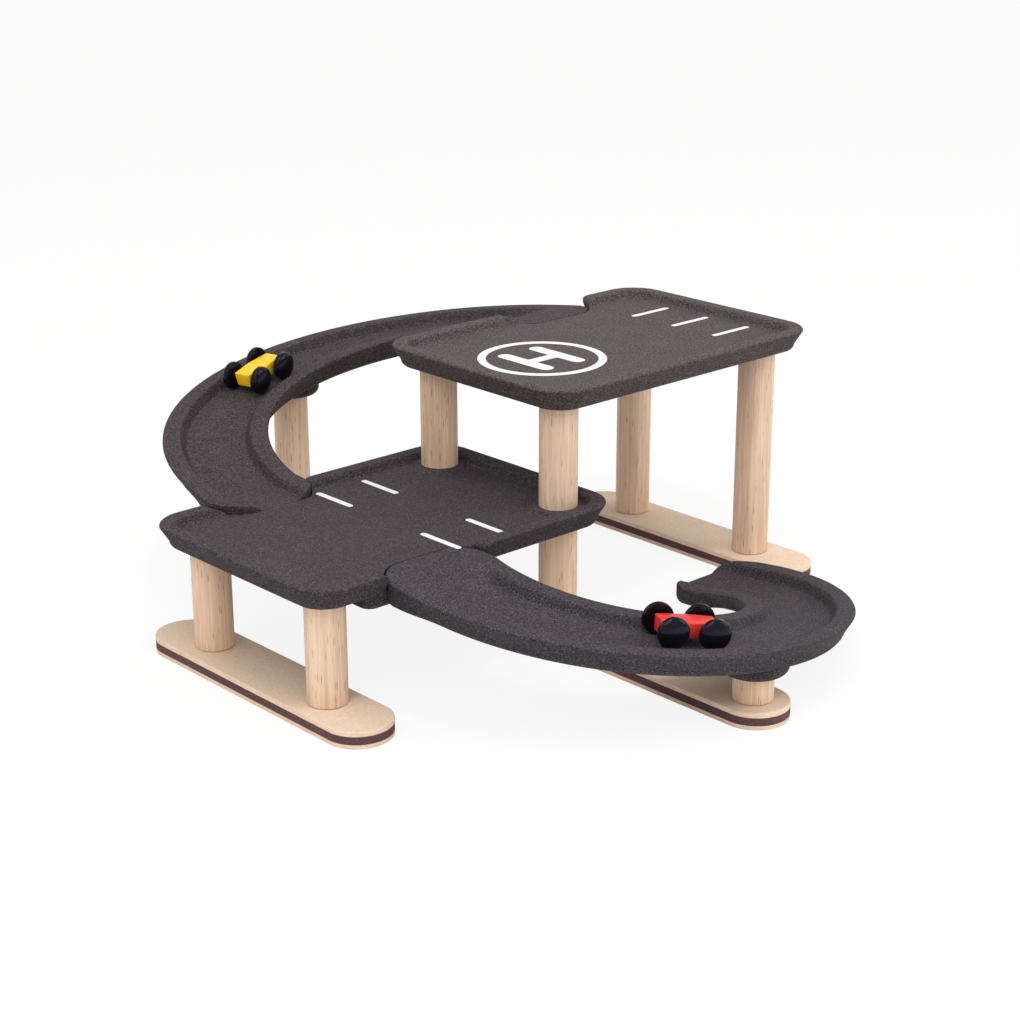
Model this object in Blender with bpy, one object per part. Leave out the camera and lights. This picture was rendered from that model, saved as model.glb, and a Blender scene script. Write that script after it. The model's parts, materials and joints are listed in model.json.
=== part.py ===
"""Wooden toy parking garage: two dished decks on turned posts, joined by two curved
trough ramps, with two small wooden cars. Metres, +Z up. The origin lies on the table
under the middle of the garage; +X points from the lower deck to the upper deck and +Y
to the side where the upper ramp hangs."""

import math

import bmesh
import bpy
from mathutils import Matrix, Vector

# Grid of posts and heights
POST_PITCH_X = 0.2117
POST_PITCH_Y = 0.1300
LEVEL_RISE = 0.0900

# Turned posts
POST_RADIUS = 0.0140
POST_EASE = 0.0008
TENON_RADIUS = 0.0080
BASE_TENON = 0.0086
DECK_TENON = 0.0075
MID_TENON_UP = 0.0052
MID_TENON_DOWN = 0.0036
BOSS_TENON = 0.0090

# Clearances
SEAT_GAP = 0.0003
GLUE_LINE = 0.0001
NOTCH_GAP = 0.0008
RUNNING_GAP = 0.0003

# Bases: pale ply, dark core, pale ply
BASE_HALF_WIDTH = 0.0243
BASE_PLY_BOTTOM = 0.0032
BASE_CORE = 0.0056
BASE_PLY_TOP = 0.0034
SIDE_BASE_OVERHANG = 0.0560
MIDDLE_BASE_OVERHANG = 0.0256
BASE_EDGE_EASE = 0.0006

# Decks
DECK_OVERHANG_X = 0.03165
DECK_OVERHANG_Y = 0.0332
DECK_THICKNESS = 0.0170
DECK_CORNER = 0.0280
RIM_HEIGHT = 0.0062
RIM_WIDTH = 0.0100
RIM_EDGE = 0.0018
EDGE_CUT = 0.3
DECK_COVE = 0.0058
SIDE_TAPER = 0.0062
BOTTOM_ROUND = 0.0050
SOCKET_DEPTH = 0.0080
COLLAR_RADIUS = 0.0215
COLLAR_TOP_RADIUS = 0.0185
COLLAR_HEIGHT = 0.0020
COLLAR_SHOULDER = 0.0015
COLLAR_SEAT = 0.0020
PAD_DROP = 0.0060
PAD_REACH = 0.0068
PAD_MARGIN = 0.0075
PAD_POST_GAP = 0.0008
PAD_CORNER = 0.0100
PAD_BACK = 0.0080

# Ramps
TONGUE = 0.0088
LAP = 0.0248
RAMP_CENTRE_X = -0.0040
RAMP_LEAN = 0.0020
RAMP_WIDTH = 0.0846
RAMP_INNER_SHIFT = 0.0085
RAMP_THICKNESS = 0.0175
RAMP_END_THICKNESS = 0.0135
RAMP_RIM_SHARE = 0.155
RAMP_COVE_SHARE = 0.084
TROUGH_DEPTH = 0.0076
RIM_CROWN = 0.0009
BEND_START_DROP = 0.0018
BEND_END_RISE = 0.0074
FREE_END_RISE = 0.0065
NOSE_RISE = 0.0024
TIP_CORNER_OUTER = 0.0240
TIP_CORNER_INNER = 0.0170
TIP_CORNER_POWER = 1.7
START_FADE = (0.0300, 0.0780)
END_FADE = 0.0180
INNER_FADE = 0.0042
RIM_END_REACH = 0.0075
BOSS_INSET = 0.0306
BOSS_RADIUS = 0.0238
UPPER_BOSS_DROP = 0.0128
LOWER_BOSS_DROP = 0.0066
BOSS_ROUND = 0.0055
BOSS_SINK = 0.0052

# Cars
WHEEL_RADIUS = 0.0110
WHEEL_THICKNESS = 0.0068
WHEEL_HUB_RADIUS = 0.0036
WHEEL_HUB = 0.0016
WHEEL_BORE_DEPTH = 0.0046
WHEEL_EDGE = 0.0010
WHEEL_TREAD = 0.0030
WHEEL_CROWN = 84.0
AXLE_RADIUS = 0.0016
AXLE_PRESS_GAP = 0.0002
WHEELBASE = 0.0297
CAR_WIDTH = 0.0374
CAR_BODY_LENGTH = 0.0413
CAR_BODY_TOP = 0.0056
CAR_BODY_BOTTOM = 0.0054
CAR_WAIST = 0.0092
CAR_NOSE = 0.0072
CAR_CHAMFER = 0.0011
CAR_DRAFT = 0.0010
CAR_FLOAT = 0.0006
YELLOW_CAR_ANGLE = 103.5
YELLOW_CAR_OFFSET = -0.0005
YELLOW_CAR_YAW = 0.0
RED_CAR_ANGLE = 68.2
RED_CAR_OFFSET = -0.0028
RED_CAR_YAW = -0.8

# Levels that follow from the sizes above
BASE_HEIGHT = BASE_PLY_BOTTOM + BASE_CORE + BASE_PLY_TOP + 2 * GLUE_LINE
LOWER_FLOOR = LEVEL_RISE + TONGUE
UPPER_FLOOR = LOWER_FLOOR + LEVEL_RISE
UNDER_DECK = DECK_THICKNESS - RIM_HEIGHT
DECK_SHIFT_X = POST_PITCH_X / 2
DECK_HALF_LENGTH = POST_PITCH_X / 2 + DECK_OVERHANG_X
DECK_EDGE = POST_PITCH_Y / 2 + DECK_OVERHANG_Y
RAMP_OUTER = POST_PITCH_X - BASE_HALF_WIDTH + RAMP_CENTRE_X + RAMP_LEAN
RAMP_INNER = RAMP_OUTER - RAMP_WIDTH
RAMP_POST_Y = DECK_EDGE + RAMP_OUTER - BOSS_INSET
RAMP_START_X = (RAMP_CENTRE_X + RAMP_INNER, RAMP_CENTRE_X + RAMP_OUTER)
RAMP_END_X = (RAMP_CENTRE_X - RAMP_OUTER, RAMP_CENTRE_X - RAMP_INNER)
TIP_Y = DECK_EDGE - LAP

# Fineness of the round work
POST_SEGMENTS = 24
WHEEL_SEGMENTS = 18
AXLE_SEGMENTS = 12
DOME_STEPS = 4
CORNER_SEGMENTS = 6
NOTCH_SEGMENTS = 6
COVE_STEPS = 3
ROUND_STEPS = 2
ARC_STATIONS = 24
LAP_STATIONS = 5
SHARP_ANGLE = 35.0
BODY_SHARP_ANGLE = 20.0


def clear_scene():
    """Take every object out of the open scene."""
    for obj in list(bpy.data.objects):
        bpy.data.objects.remove(obj, do_unlink=True)


def material(name, colour, roughness, metallic=0.0):
    """One Principled material."""
    mat = bpy.data.materials.new(name)
    mat.use_nodes = True
    shader = mat.node_tree.nodes["Principled BSDF"]
    shader.inputs["Base Color"].default_value = (*colour, 1.0)
    shader.inputs["Roughness"].default_value = roughness
    shader.inputs["Metallic"].default_value = metallic
    return mat


def mesh_object(name, bm, mat, sharp_angle=SHARP_ANGLE):
    """Turn a bmesh into a smooth-shaded object with its normals pointing out."""
    bmesh.ops.recalc_face_normals(bm, faces=bm.faces)
    mesh = bpy.data.meshes.new(name)
    bm.to_mesh(mesh)
    bm.free()
    mesh.shade_smooth()
    mesh.set_sharp_from_angle(angle=math.radians(sharp_angle))
    mesh.materials.append(mat)
    obj = bpy.data.objects.new(name, mesh)
    bpy.context.scene.collection.objects.link(obj)
    return obj


def loft(rings):
    """Closed bmesh through equal rings of points, with a flat cap on both ends."""
    bm = bmesh.new()
    rows = [[bm.verts.new(point) for point in ring] for ring in rings]
    count = len(rows[0])
    for low, high in zip(rows, rows[1:]):
        for i in range(count):
            j = (i + 1) % count
            bm.faces.new((low[i], low[j], high[j], high[i]))
    bm.faces.new(rows[0])
    bm.faces.new(rows[-1])
    return bm


def turned(profile, segments):
    """Closed bmesh turned about Z from a profile of (radius, height) points."""
    angles = [2 * math.pi * k / segments for k in range(segments)]
    rings = [[(r * math.cos(a), r * math.sin(a), z) for a in angles] for r, z in profile]
    return loft(rings)


def boolean(target, cutter, operation):
    """Cut with, or add, a helper object, and take the helper away again."""
    modifier = target.modifiers.new(operation.title(), "BOOLEAN")
    modifier.operation = operation
    modifier.solver = "EXACT"
    modifier.object = cutter
    bpy.context.view_layer.update()
    graph = bpy.context.evaluated_depsgraph_get()
    mesh = bpy.data.meshes.new_from_object(target.evaluated_get(graph))
    target.modifiers.remove(modifier)
    old = target.data
    target.data = mesh
    mesh.name = old.name
    bpy.data.meshes.remove(old)
    bpy.data.objects.remove(cutter, do_unlink=True)


def helper(bm, mat):
    """A guide or cutter that is never seen."""
    obj = mesh_object("helper", bm, mat)
    obj.hide_render = True
    obj.display_type = "WIRE"
    return obj


def arc(cx, cy, radius, start, end, steps):
    """Points along an arc, angles in degrees."""
    points = []
    for k in range(steps + 1):
        a = math.radians(start + (end - start) * k / steps)
        points.append((cx + radius * math.cos(a), cy + radius * math.sin(a)))
    return points


def rounded_rectangle(x0, x1, y0, y1, radius, steps=CORNER_SEGMENTS):
    """Outline of a rectangle with round corners, anticlockwise."""
    outline = arc(x1 - radius, y1 - radius, radius, 0, 90, steps)
    outline += arc(x0 + radius, y1 - radius, radius, 90, 180, steps)
    outline += arc(x0 + radius, y0 + radius, radius, 180, 270, steps)
    outline += arc(x1 - radius, y0 + radius, radius, 270, 360, steps)
    return outline


def lift(outline, z):
    """Give a flat outline its height."""
    return [(x, y, z) for x, y in outline]


def side_profile(thickness):
    """(inset, drop) points of a tray's outer wall, from its underside up to the rim."""
    points = []
    for k in range(ROUND_STEPS + 1):
        a = math.pi / 2 * k / ROUND_STEPS
        inset = SIDE_TAPER + BOTTOM_ROUND * (1 - math.sin(a))
        drop = thickness - BOTTOM_ROUND * (1 - math.cos(a))
        points.append((inset, drop))
    points.append((0.0, RIM_EDGE))
    points.append((RIM_EDGE * EDGE_CUT, RIM_EDGE * EDGE_CUT))
    points.append((RIM_EDGE, 0.0))
    return points


def cove_profile(rim_width, width, depth):
    """(inset, drop) points from the flat of the rim down a soft cove to the floor."""
    points = []
    for k in range(COVE_STEPS + 1):
        t = k / COVE_STEPS
        points.append((rim_width + width * t, depth * (1 - math.cos(math.pi * t)) / 2))
    return points


def tray(x_shift, floor):
    """A dished deck: side wall, rim, cove and floor in one loft."""
    rim = floor + RIM_HEIGHT
    rings = []
    cove = cove_profile(RIM_WIDTH, DECK_COVE, RIM_HEIGHT)
    for inset, drop in side_profile(DECK_THICKNESS) + cove:
        reach = DECK_HALF_LENGTH - inset
        outline = rounded_rectangle(x_shift - reach, x_shift + reach,
                                    -DECK_EDGE + inset, DECK_EDGE - inset,
                                    DECK_CORNER - inset)
        rings.append(lift(outline, rim - drop))
    return loft(rings)


def slot_outline(side, gap):
    """Plan of a ramp's tongue with a gap all round, open towards +Y."""
    outer_edge, inner_edge = [], []
    for k in range(NOTCH_SEGMENTS + 1):
        outer, inner = lap_station(side, LAP * (k / NOTCH_SEGMENTS) ** 2)
        outer_edge.append((outer[0] + side * gap, outer[1] - gap))
        inner_edge.append((inner[0] - side * gap, inner[1] - gap))
    far = DECK_EDGE + PAD_REACH
    outline = [(inner_edge[-1][0], far)] + inner_edge[::-1] + outer_edge
    outline.append((outer_edge[-1][0], far))
    return outline


def turn_outline(outline, half_turn):
    """Turn a plan half round the middle of the garage where asked."""
    return [(-x, -y) for x, y in outline] if half_turn else outline


def notch_cutter(side, floor, half_turn, mat):
    """Cutter that lets a ramp's tongue into a deck and rounds over the rim's ends."""
    rim = floor + RIM_HEIGHT
    rings = [(NOTCH_GAP, floor - TONGUE - SEAT_GAP)]
    for k in range(ROUND_STEPS + 2):
        a = math.pi / 2 * k / (ROUND_STEPS + 1)
        rings.append((NOTCH_GAP + RIM_END_REACH * (1 - math.cos(a)),
                      floor + SEAT_GAP + (RIM_HEIGHT - SEAT_GAP) * math.sin(a)))
    rings.append((NOTCH_GAP + RIM_END_REACH, rim + RIM_HEIGHT))
    return helper(loft([lift(turn_outline(slot_outline(side, gap), half_turn), z)
                        for gap, z in rings]), mat)


def notch_pad(span, floor, half_turn, mat):
    """Rounded pad that thickens a deck under a notch."""
    outer = POST_PITCH_X - POST_RADIUS - PAD_POST_GAP
    x0, x1 = max(span[0] - PAD_MARGIN, -outer), span[1] + PAD_MARGIN
    if span[1] > 0:
        x1 = outer
    y0, y1 = TIP_Y - PAD_BACK, DECK_EDGE - PAD_REACH
    under = floor - UNDER_DECK
    ease = PAD_DROP / 2
    rings = []
    cut = ease * EDGE_CUT
    for inset, z in ((ease, -PAD_DROP), (cut, -PAD_DROP + cut),
                     (0.0, -PAD_DROP + ease), (0.0, PAD_DROP)):
        outline = rounded_rectangle(x0 + inset, x1 - inset, y0 + inset, y1 - inset,
                                    PAD_CORNER - inset, ROUND_STEPS)
        rings.append(lift(turn_outline(outline, half_turn), under + z))
    return helper(loft(rings), mat)


def post_hole(x, y, z0, z1, radius, mat):
    """Round cutter for a tenon or a post's foot."""
    obj = helper(turned([(radius, z0), (radius, z1)], POST_SEGMENTS), mat)
    obj.location = (x, y, 0)
    return obj


def collar(x, y, floor, mat):
    """Low raised ring round an upper post."""
    profile = [(COLLAR_RADIUS, floor - RIM_HEIGHT / 2), (COLLAR_RADIUS, floor),
               ((COLLAR_RADIUS + COLLAR_TOP_RADIUS) / 2, floor + COLLAR_SHOULDER),
               (COLLAR_TOP_RADIUS, floor + COLLAR_HEIGHT)]
    obj = helper(turned(profile, POST_SEGMENTS), mat)
    obj.location = (x, y, 0)
    return obj


def blind_socket(x, y, floor, mat):
    """Cutter for a tenon's blind socket in a deck's underside."""
    under = floor - UNDER_DECK
    return post_hole(x, y, under - PAD_DROP, under + SOCKET_DEPTH, TENON_RADIUS + SEAT_GAP, mat)


def make_lower_deck(mat):
    """The lower deck: notches front and back, pads, collars and post holes."""
    deck = mesh_object("lower_deck", tray(-DECK_SHIFT_X, LOWER_FLOOR), mat)
    back, front = RAMP_END_X, RAMP_START_X
    boolean(deck, notch_pad(back, LOWER_FLOOR, False, mat), "UNION")
    boolean(deck, notch_pad(front, LOWER_FLOOR, True, mat), "UNION")
    for side in (-1, 1):
        boolean(deck, collar(0, side * POST_PITCH_Y / 2, LOWER_FLOOR, mat), "UNION")
    boolean(deck, notch_cutter(-1, LOWER_FLOOR, False, mat), "DIFFERENCE")
    boolean(deck, notch_cutter(1, LOWER_FLOOR, True, mat), "DIFFERENCE")
    for side in (-1, 1):
        y = side * POST_PITCH_Y / 2
        boolean(deck, blind_socket(-POST_PITCH_X, y, LOWER_FLOOR, mat), "DIFFERENCE")
        seat = post_hole(0, y, LOWER_FLOOR - COLLAR_SEAT, LOWER_FLOOR + 2 * COLLAR_HEIGHT,
                         POST_RADIUS + SEAT_GAP, mat)
        boolean(deck, seat, "DIFFERENCE")
        through = post_hole(0, y, LOWER_FLOOR - 2 * UNDER_DECK, LOWER_FLOOR,
                            TENON_RADIUS + SEAT_GAP, mat)
        boolean(deck, through, "DIFFERENCE")
    return deck


def make_upper_deck(mat):
    """The upper deck: one notch and pad at the back, four blind sockets."""
    deck = mesh_object("upper_deck", tray(DECK_SHIFT_X, UPPER_FLOOR), mat)
    boolean(deck, notch_pad(RAMP_START_X, UPPER_FLOOR, False, mat), "UNION")
    boolean(deck, notch_cutter(1, UPPER_FLOOR, False, mat), "DIFFERENCE")
    for x in (0, POST_PITCH_X):
        for side in (-1, 1):
            socket = blind_socket(x, side * POST_PITCH_Y / 2, UPPER_FLOOR, mat)
            boolean(deck, socket, "DIFFERENCE")
    return deck


def ramp_lengths():
    """Mean length of one lap, of the bend and of the whole ramp."""
    lap = LAP + RAMP_INNER_SHIFT / 2
    bend = math.pi * (RAMP_OUTER + RAMP_INNER) / 2
    return lap, bend, 2 * lap + bend


def ramp_line(run):
    """Height of the ramp's fall line after a run along its middle."""
    lap, bend, total = ramp_lengths()
    marks = [(0.0, UPPER_FLOOR), (lap, UPPER_FLOOR - BEND_START_DROP),
             (lap + bend, LOWER_FLOOR + BEND_END_RISE),
             (total - END_FADE, LOWER_FLOOR + FREE_END_RISE), (total, LOWER_FLOOR + NOSE_RISE)]
    for (run0, z0), (run1, z1) in zip(marks, marks[1:]):
        if run <= run1:
            break
    return z0 + (z1 - z0) * (run - run0) / (run1 - run0)


def ramp_tops(run):
    """Heights of the outer and inner rims: the fall line, a little higher in the middle of
    the bend; the inner rim keeps its height to just before the end and then rounds down."""
    lap, bend, total = ramp_lengths()
    t = min(max((run - lap) / bend, 0.0), 1.0)
    outer = ramp_line(run) + RIM_CROWN * math.sin(math.pi * t)
    if run < total - END_FADE:
        return outer, outer
    t = min(max(1 - (total - run) / INNER_FADE, 0.0), 1.0)
    rise = NOSE_RISE + (FREE_END_RISE - NOSE_RISE) * math.sqrt(1 - t * t)
    return outer, LOWER_FLOOR + rise


def ease_in(t):
    """Smooth step from 0 to 1."""
    t = min(max(t, 0.0), 1.0)
    return t * t * (3 - 2 * t)


def trough_floor(run):
    """Height of the trough's floor: level with the rims at the start's tongue, never below
    the lower floor at the end."""
    opening = ease_in((run - START_FADE[0]) / (START_FADE[1] - START_FADE[0]))
    return max(ramp_tops(run)[0] - TROUGH_DEPTH * opening, LOWER_FLOOR)


def corner_inset(distance, radius):
    """How far a tip's soft corner draws an edge in at a distance from the tip."""
    if distance >= radius:
        return 0.0
    t = 1 - distance / radius
    return radius * (1 - (1 - t ** TIP_CORNER_POWER) ** (1 / TIP_CORNER_POWER))


def ramp_section(outer, inner, tops, floor, bottom):
    """Ring of points across the ramp, from its outer foot over the rims and back."""
    outer, inner = Vector(outer), Vector(inner)
    width = (outer - inner).length
    across = (inner - outer) / width
    halves = []
    for top in tops:
        cove = cove_profile(RAMP_RIM_SHARE * width, RAMP_COVE_SHARE * width, top - floor)
        halves.append([(inset, top - drop) for inset, drop in side_profile(top - bottom) + cove])
    ring = []
    for inset, z in halves[0]:
        point = outer + across * inset
        ring.append((point.x, point.y, z))
    for inset, z in reversed(halves[1]):
        point = outer + across * (width - inset)
        ring.append((point.x, point.y, z))
    return ring


def lap_station(side, distance):
    """Edges of a tongue at a distance from its tip; side is 1 at the start, -1 at the end."""
    t = distance / LAP
    y_outer = TIP_Y + distance
    y_inner = TIP_Y + t * (LAP + RAMP_INNER_SHIFT)
    out = RAMP_OUTER - corner_inset(distance, TIP_CORNER_OUTER)
    inn = RAMP_INNER + corner_inset(distance, TIP_CORNER_INNER)
    outer = (RAMP_CENTRE_X + side * out, y_outer)
    inner = (RAMP_CENTRE_X + side * inn, y_inner)
    return outer, inner


def bend_station(angle):
    """Edges of the bend at an angle from the start side, in radians."""
    c, s = math.cos(angle), math.sin(angle)
    outer = (RAMP_CENTRE_X + RAMP_OUTER * c, DECK_EDGE + RAMP_OUTER * s)
    inner = (RAMP_CENTRE_X + RAMP_INNER * c, DECK_EDGE + RAMP_INNER_SHIFT + RAMP_INNER * s)
    return outer, inner


def ramp_stations():
    """(outer, inner, run, step) for each section, from the start's tip to the end's."""
    lap, bend, total = ramp_lengths()
    shoulder = LAP - PAD_REACH + NOTCH_GAP
    tip = [(shoulder - SEAT_GAP) * (k / LAP_STATIONS) ** 2 for k in range(LAP_STATIONS + 1)]
    stations = []
    for d in tip:
        stations.append((*lap_station(1, d), lap * d / LAP, "tongue"))
    stations.append((*lap_station(1, shoulder), lap * shoulder / LAP, "slab"))
    for k in range(ARC_STATIONS + 1):
        angle = math.pi * k / ARC_STATIONS
        stations.append((*bend_station(angle), lap + bend * k / ARC_STATIONS, "slab"))
    for d in reversed(tip):
        stations.append((*lap_station(-1, d), total - lap * d / LAP, "slab"))
    return stations


def ramp_bottom(run, part):
    """Underside of the ramp: thin tongues, full slab between them, never below its foot."""
    if part == "tongue":
        return UPPER_FLOOR - TONGUE
    lap, bend, total = ramp_lengths()
    t = ease_in((run - lap - bend / 2) / (lap + bend / 2))
    thickness = RAMP_THICKNESS + (RAMP_END_THICKNESS - RAMP_THICKNESS) * t
    return max(ramp_line(run) - thickness, LOWER_FLOOR - TONGUE)


def make_ramp(name, boss_drop, mat):
    """Curved trough ramp with its boss, in the upper ramp's place."""
    rings = []
    for outer, inner, run, part in ramp_stations():
        rings.append(ramp_section(outer, inner, ramp_tops(run), trough_floor(run),
                                  ramp_bottom(run, part)))
    ramp = mesh_object(name, loft(rings), mat)
    low = boss_level(boss_drop)
    root = low + boss_drop + BOSS_SINK
    profile = [(BOSS_RADIUS - BOSS_ROUND, low)]
    for k in range(1, ROUND_STEPS + 1):
        a = math.pi / 2 * k / ROUND_STEPS
        profile.append((BOSS_RADIUS - BOSS_ROUND * (1 - math.sin(a)),
                        low + BOSS_ROUND * (1 - math.cos(a))))
    profile.append((BOSS_RADIUS, root))
    boss = helper(turned(profile, POST_SEGMENTS), mat)
    boss.location = (0, RAMP_POST_Y, 0)
    boolean(ramp, boss, "UNION")
    socket = post_hole(0, RAMP_POST_Y, low - BOSS_TENON, low + BOSS_TENON + SEAT_GAP,
                       TENON_RADIUS + SEAT_GAP, mat)
    boolean(ramp, socket, "DIFFERENCE")
    return ramp


def boss_level(boss_drop):
    """Height of the underside of an upper ramp's boss."""
    lap, bend, _ = ramp_lengths()
    return ramp_line(lap + bend / 2) - RAMP_THICKNESS - boss_drop


def stadium(half_length, radius, steps=2 * CORNER_SEGMENTS):
    """Outline of a strip along Y with round ends."""
    run = half_length - radius
    return arc(0, run, radius, 0, 180, steps) + arc(0, -run, radius, 180, 360, steps)


def ply(name, x, half_length, z0, z1, eased, sockets, mat):
    """One sheet of a base, with round sockets where the posts' tenons pass."""
    plan = stadium(half_length, BASE_HALF_WIDTH)
    small = stadium(half_length - BASE_EDGE_EASE, BASE_HALF_WIDTH - BASE_EDGE_EASE)
    rings = [lift(plan, z0), lift(plan, z1)]
    if eased == "top":
        rings = [lift(plan, z0), lift(plan, z1 - BASE_EDGE_EASE), lift(small, z1)]
    if eased == "bottom":
        rings = [lift(small, z0), lift(plan, z0 + BASE_EDGE_EASE), lift(plan, z1)]
    sheet = mesh_object(name, loft(rings), mat)
    for y in sockets:
        hole = post_hole(0, y, z0 - BASE_CORE, z1 + BASE_CORE, TENON_RADIUS + SEAT_GAP, mat)
        boolean(sheet, hole, "DIFFERENCE")
    sheet.location.x = x
    return sheet


def make_base(side, x, half_length, post_ys, ply_mat, core_mat):
    """A base: bottom ply, dark core and top ply."""
    core_z = BASE_PLY_BOTTOM + GLUE_LINE
    top_z = core_z + BASE_CORE + GLUE_LINE
    ply(side + "_base_bottom_ply", x, half_length, 0.0, BASE_PLY_BOTTOM, "bottom", [], ply_mat)
    ply(side + "_base_core", x, half_length, core_z, core_z + BASE_CORE, "none", post_ys, core_mat)
    ply(side + "_base_top_ply", x, half_length, top_z, top_z + BASE_PLY_TOP, "top", post_ys, ply_mat)


def make_post(name, x, y, foot, head, foot_tenon, head_tenon, mat):
    """A turned post with eased ends and a tenon at both."""
    profile = [(TENON_RADIUS, foot - foot_tenon),
               (TENON_RADIUS, foot),
               (POST_RADIUS - POST_EASE, foot),
               (POST_RADIUS, foot + POST_EASE),
               (POST_RADIUS, head - POST_EASE),
               (POST_RADIUS - POST_EASE, head),
               (TENON_RADIUS, head),
               (TENON_RADIUS, head + head_tenon)]
    post = mesh_object(name, turned(profile, POST_SEGMENTS), mat)
    post.location = (x, y, 0)
    return post


def make_posts(mat):
    """All ten posts, each between the faces that it stands on and carries."""
    foot = BASE_HEIGHT + SEAT_GAP
    low_head = LOWER_FLOOR - UNDER_DECK - SEAT_GAP
    high_head = UPPER_FLOOR - UNDER_DECK - SEAT_GAP
    collar_foot = LOWER_FLOOR - COLLAR_SEAT + SEAT_GAP
    for place, y in (("front", -POST_PITCH_Y / 2), ("back", POST_PITCH_Y / 2)):
        make_post(f"left_{place}_post", -POST_PITCH_X, y, foot, low_head,
                  BASE_TENON, DECK_TENON, mat)
        make_post(f"middle_{place}_lower_post", 0, y, foot, low_head,
                  BASE_TENON, MID_TENON_UP, mat)
        make_post(f"middle_{place}_upper_post", 0, y, collar_foot, high_head,
                  MID_TENON_DOWN, DECK_TENON, mat)
        make_post(f"right_{place}_post", POST_PITCH_X, y, foot, high_head,
                  BASE_TENON, DECK_TENON, mat)
    tall_head = boss_level(UPPER_BOSS_DROP) - SEAT_GAP
    short_head = boss_level(LOWER_BOSS_DROP) - LEVEL_RISE - SEAT_GAP
    make_post("tall_ramp_post", 0, RAMP_POST_Y, foot, tall_head, BASE_TENON, BOSS_TENON, mat)
    make_post("short_ramp_post", 0, -RAMP_POST_Y, foot, short_head, BASE_TENON, BOSS_TENON, mat)


def car_outline(inset):
    """Plan of a car's body: six-sided, widest at its waist."""
    half = CAR_BODY_LENGTH / 2 - inset
    nose, waist = CAR_NOSE - inset, CAR_WAIST - inset
    return [(half, -nose), (half, nose), (0, waist), (-half, nose), (-half, -nose), (0, -waist)]


def make_car_body(name, parent, mat):
    """Faceted body with a bevelled top and two bores for the axles."""
    rings = [lift(car_outline(CAR_DRAFT), -CAR_BODY_BOTTOM),
             lift(car_outline(0.0), CAR_BODY_TOP - CAR_CHAMFER),
             lift(car_outline(CAR_CHAMFER), CAR_BODY_TOP)]
    body = mesh_object(name, loft(rings), mat, BODY_SHARP_ANGLE)
    for side in (-1, 1):
        profile = [(AXLE_RADIUS + RUNNING_GAP, -CAR_WIDTH), (AXLE_RADIUS + RUNNING_GAP, CAR_WIDTH)]
        bore = helper(turned(profile, AXLE_SEGMENTS), mat)
        bore.rotation_euler = (math.pi / 2, 0, 0)
        bore.location = (side * WHEELBASE / 2, 0, 0)
        boolean(body, bore, "DIFFERENCE")
    body.parent = parent
    return body


def wheel_profile():
    """(radius, height) points of a domed wheel from its blind bore round to the dome."""
    bore = AXLE_RADIUS + AXLE_PRESS_GAP
    points = [(bore, WHEEL_BORE_DEPTH - WHEEL_HUB), (bore, -WHEEL_HUB),
              (WHEEL_HUB_RADIUS, -WHEEL_HUB), (WHEEL_HUB_RADIUS, 0.0),
              (WHEEL_RADIUS - WHEEL_EDGE, 0.0), (WHEEL_RADIUS, WHEEL_EDGE)]
    dome = WHEEL_THICKNESS - WHEEL_TREAD
    for k in range(DOME_STEPS + 1):
        a = math.radians(WHEEL_CROWN * k / DOME_STEPS)
        points.append((WHEEL_RADIUS * math.cos(a), WHEEL_TREAD + dome * math.sin(a)))
    points[-1] = (points[-1][0], WHEEL_THICKNESS)
    return points


def make_wheel(name, parent, end, side, mat):
    """A wheel on its axle's end, turned about the axle's line."""
    wheel = mesh_object(name, turned(wheel_profile(), WHEEL_SEGMENTS), mat)
    flip = -math.pi / 2 * side
    inner_face = CAR_WIDTH / 2 - WHEEL_THICKNESS
    turn = Matrix.Rotation(flip, 4, "X")
    wheel.data.transform(Matrix.Translation((0, side * inner_face, 0)) @ turn)
    wheel.location = (end * WHEELBASE / 2, 0, 0)
    wheel.parent = parent
    return wheel


def make_axle(name, parent, end, mat):
    """A plain axle, pressed into both wheels' blind bores."""
    inner_face = CAR_WIDTH / 2 - WHEEL_THICKNESS
    half = inner_face + WHEEL_BORE_DEPTH - WHEEL_HUB - SEAT_GAP
    profile = [(AXLE_RADIUS, -half), (AXLE_RADIUS, half)]
    axle = mesh_object(name, turned(profile, AXLE_SEGMENTS), mat)
    axle.data.transform(Matrix.Rotation(math.pi / 2, 4, "X"))
    axle.location = (end * WHEELBASE / 2, 0, 0)
    axle.parent = parent
    return axle


def car_matrix(angle, offset, yaw, lower):
    """Place of a car that stands on a ramp's trough, heading down along the ramp."""
    lap, bend, _ = ramp_lengths()
    outer, inner = bend_station(angle)
    outer, inner = Vector((*outer, 0)), Vector((*inner, 0))
    across = (outer - inner).normalized()
    run = lap + bend * angle / math.pi
    place = (outer + inner) / 2 + across * offset
    radius = (place - Vector((RAMP_CENTRE_X, DECK_EDGE, 0))).length
    drop = trough_floor(run - WHEELBASE / 2) - trough_floor(run + WHEELBASE / 2)
    slope = drop / WHEELBASE * bend / (math.pi * radius)
    level = Vector((0, 0, 1)).cross(across).normalized()
    ahead = (level - Vector((0, 0, slope))).normalized()
    up = ahead.cross(-across).normalized()
    place.z = trough_floor(run)
    place += up * (WHEEL_RADIUS + CAR_FLOAT)
    matrix = Matrix((ahead, -across, up)).transposed().to_4x4()
    matrix = matrix @ Matrix.Rotation(yaw, 4, "Z")
    matrix.translation = place
    if lower:
        half_turn = Matrix.Rotation(math.pi, 4, "Z")
        matrix = Matrix.Translation((0, 0, -LEVEL_RISE)) @ half_turn @ matrix
    return matrix


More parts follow.
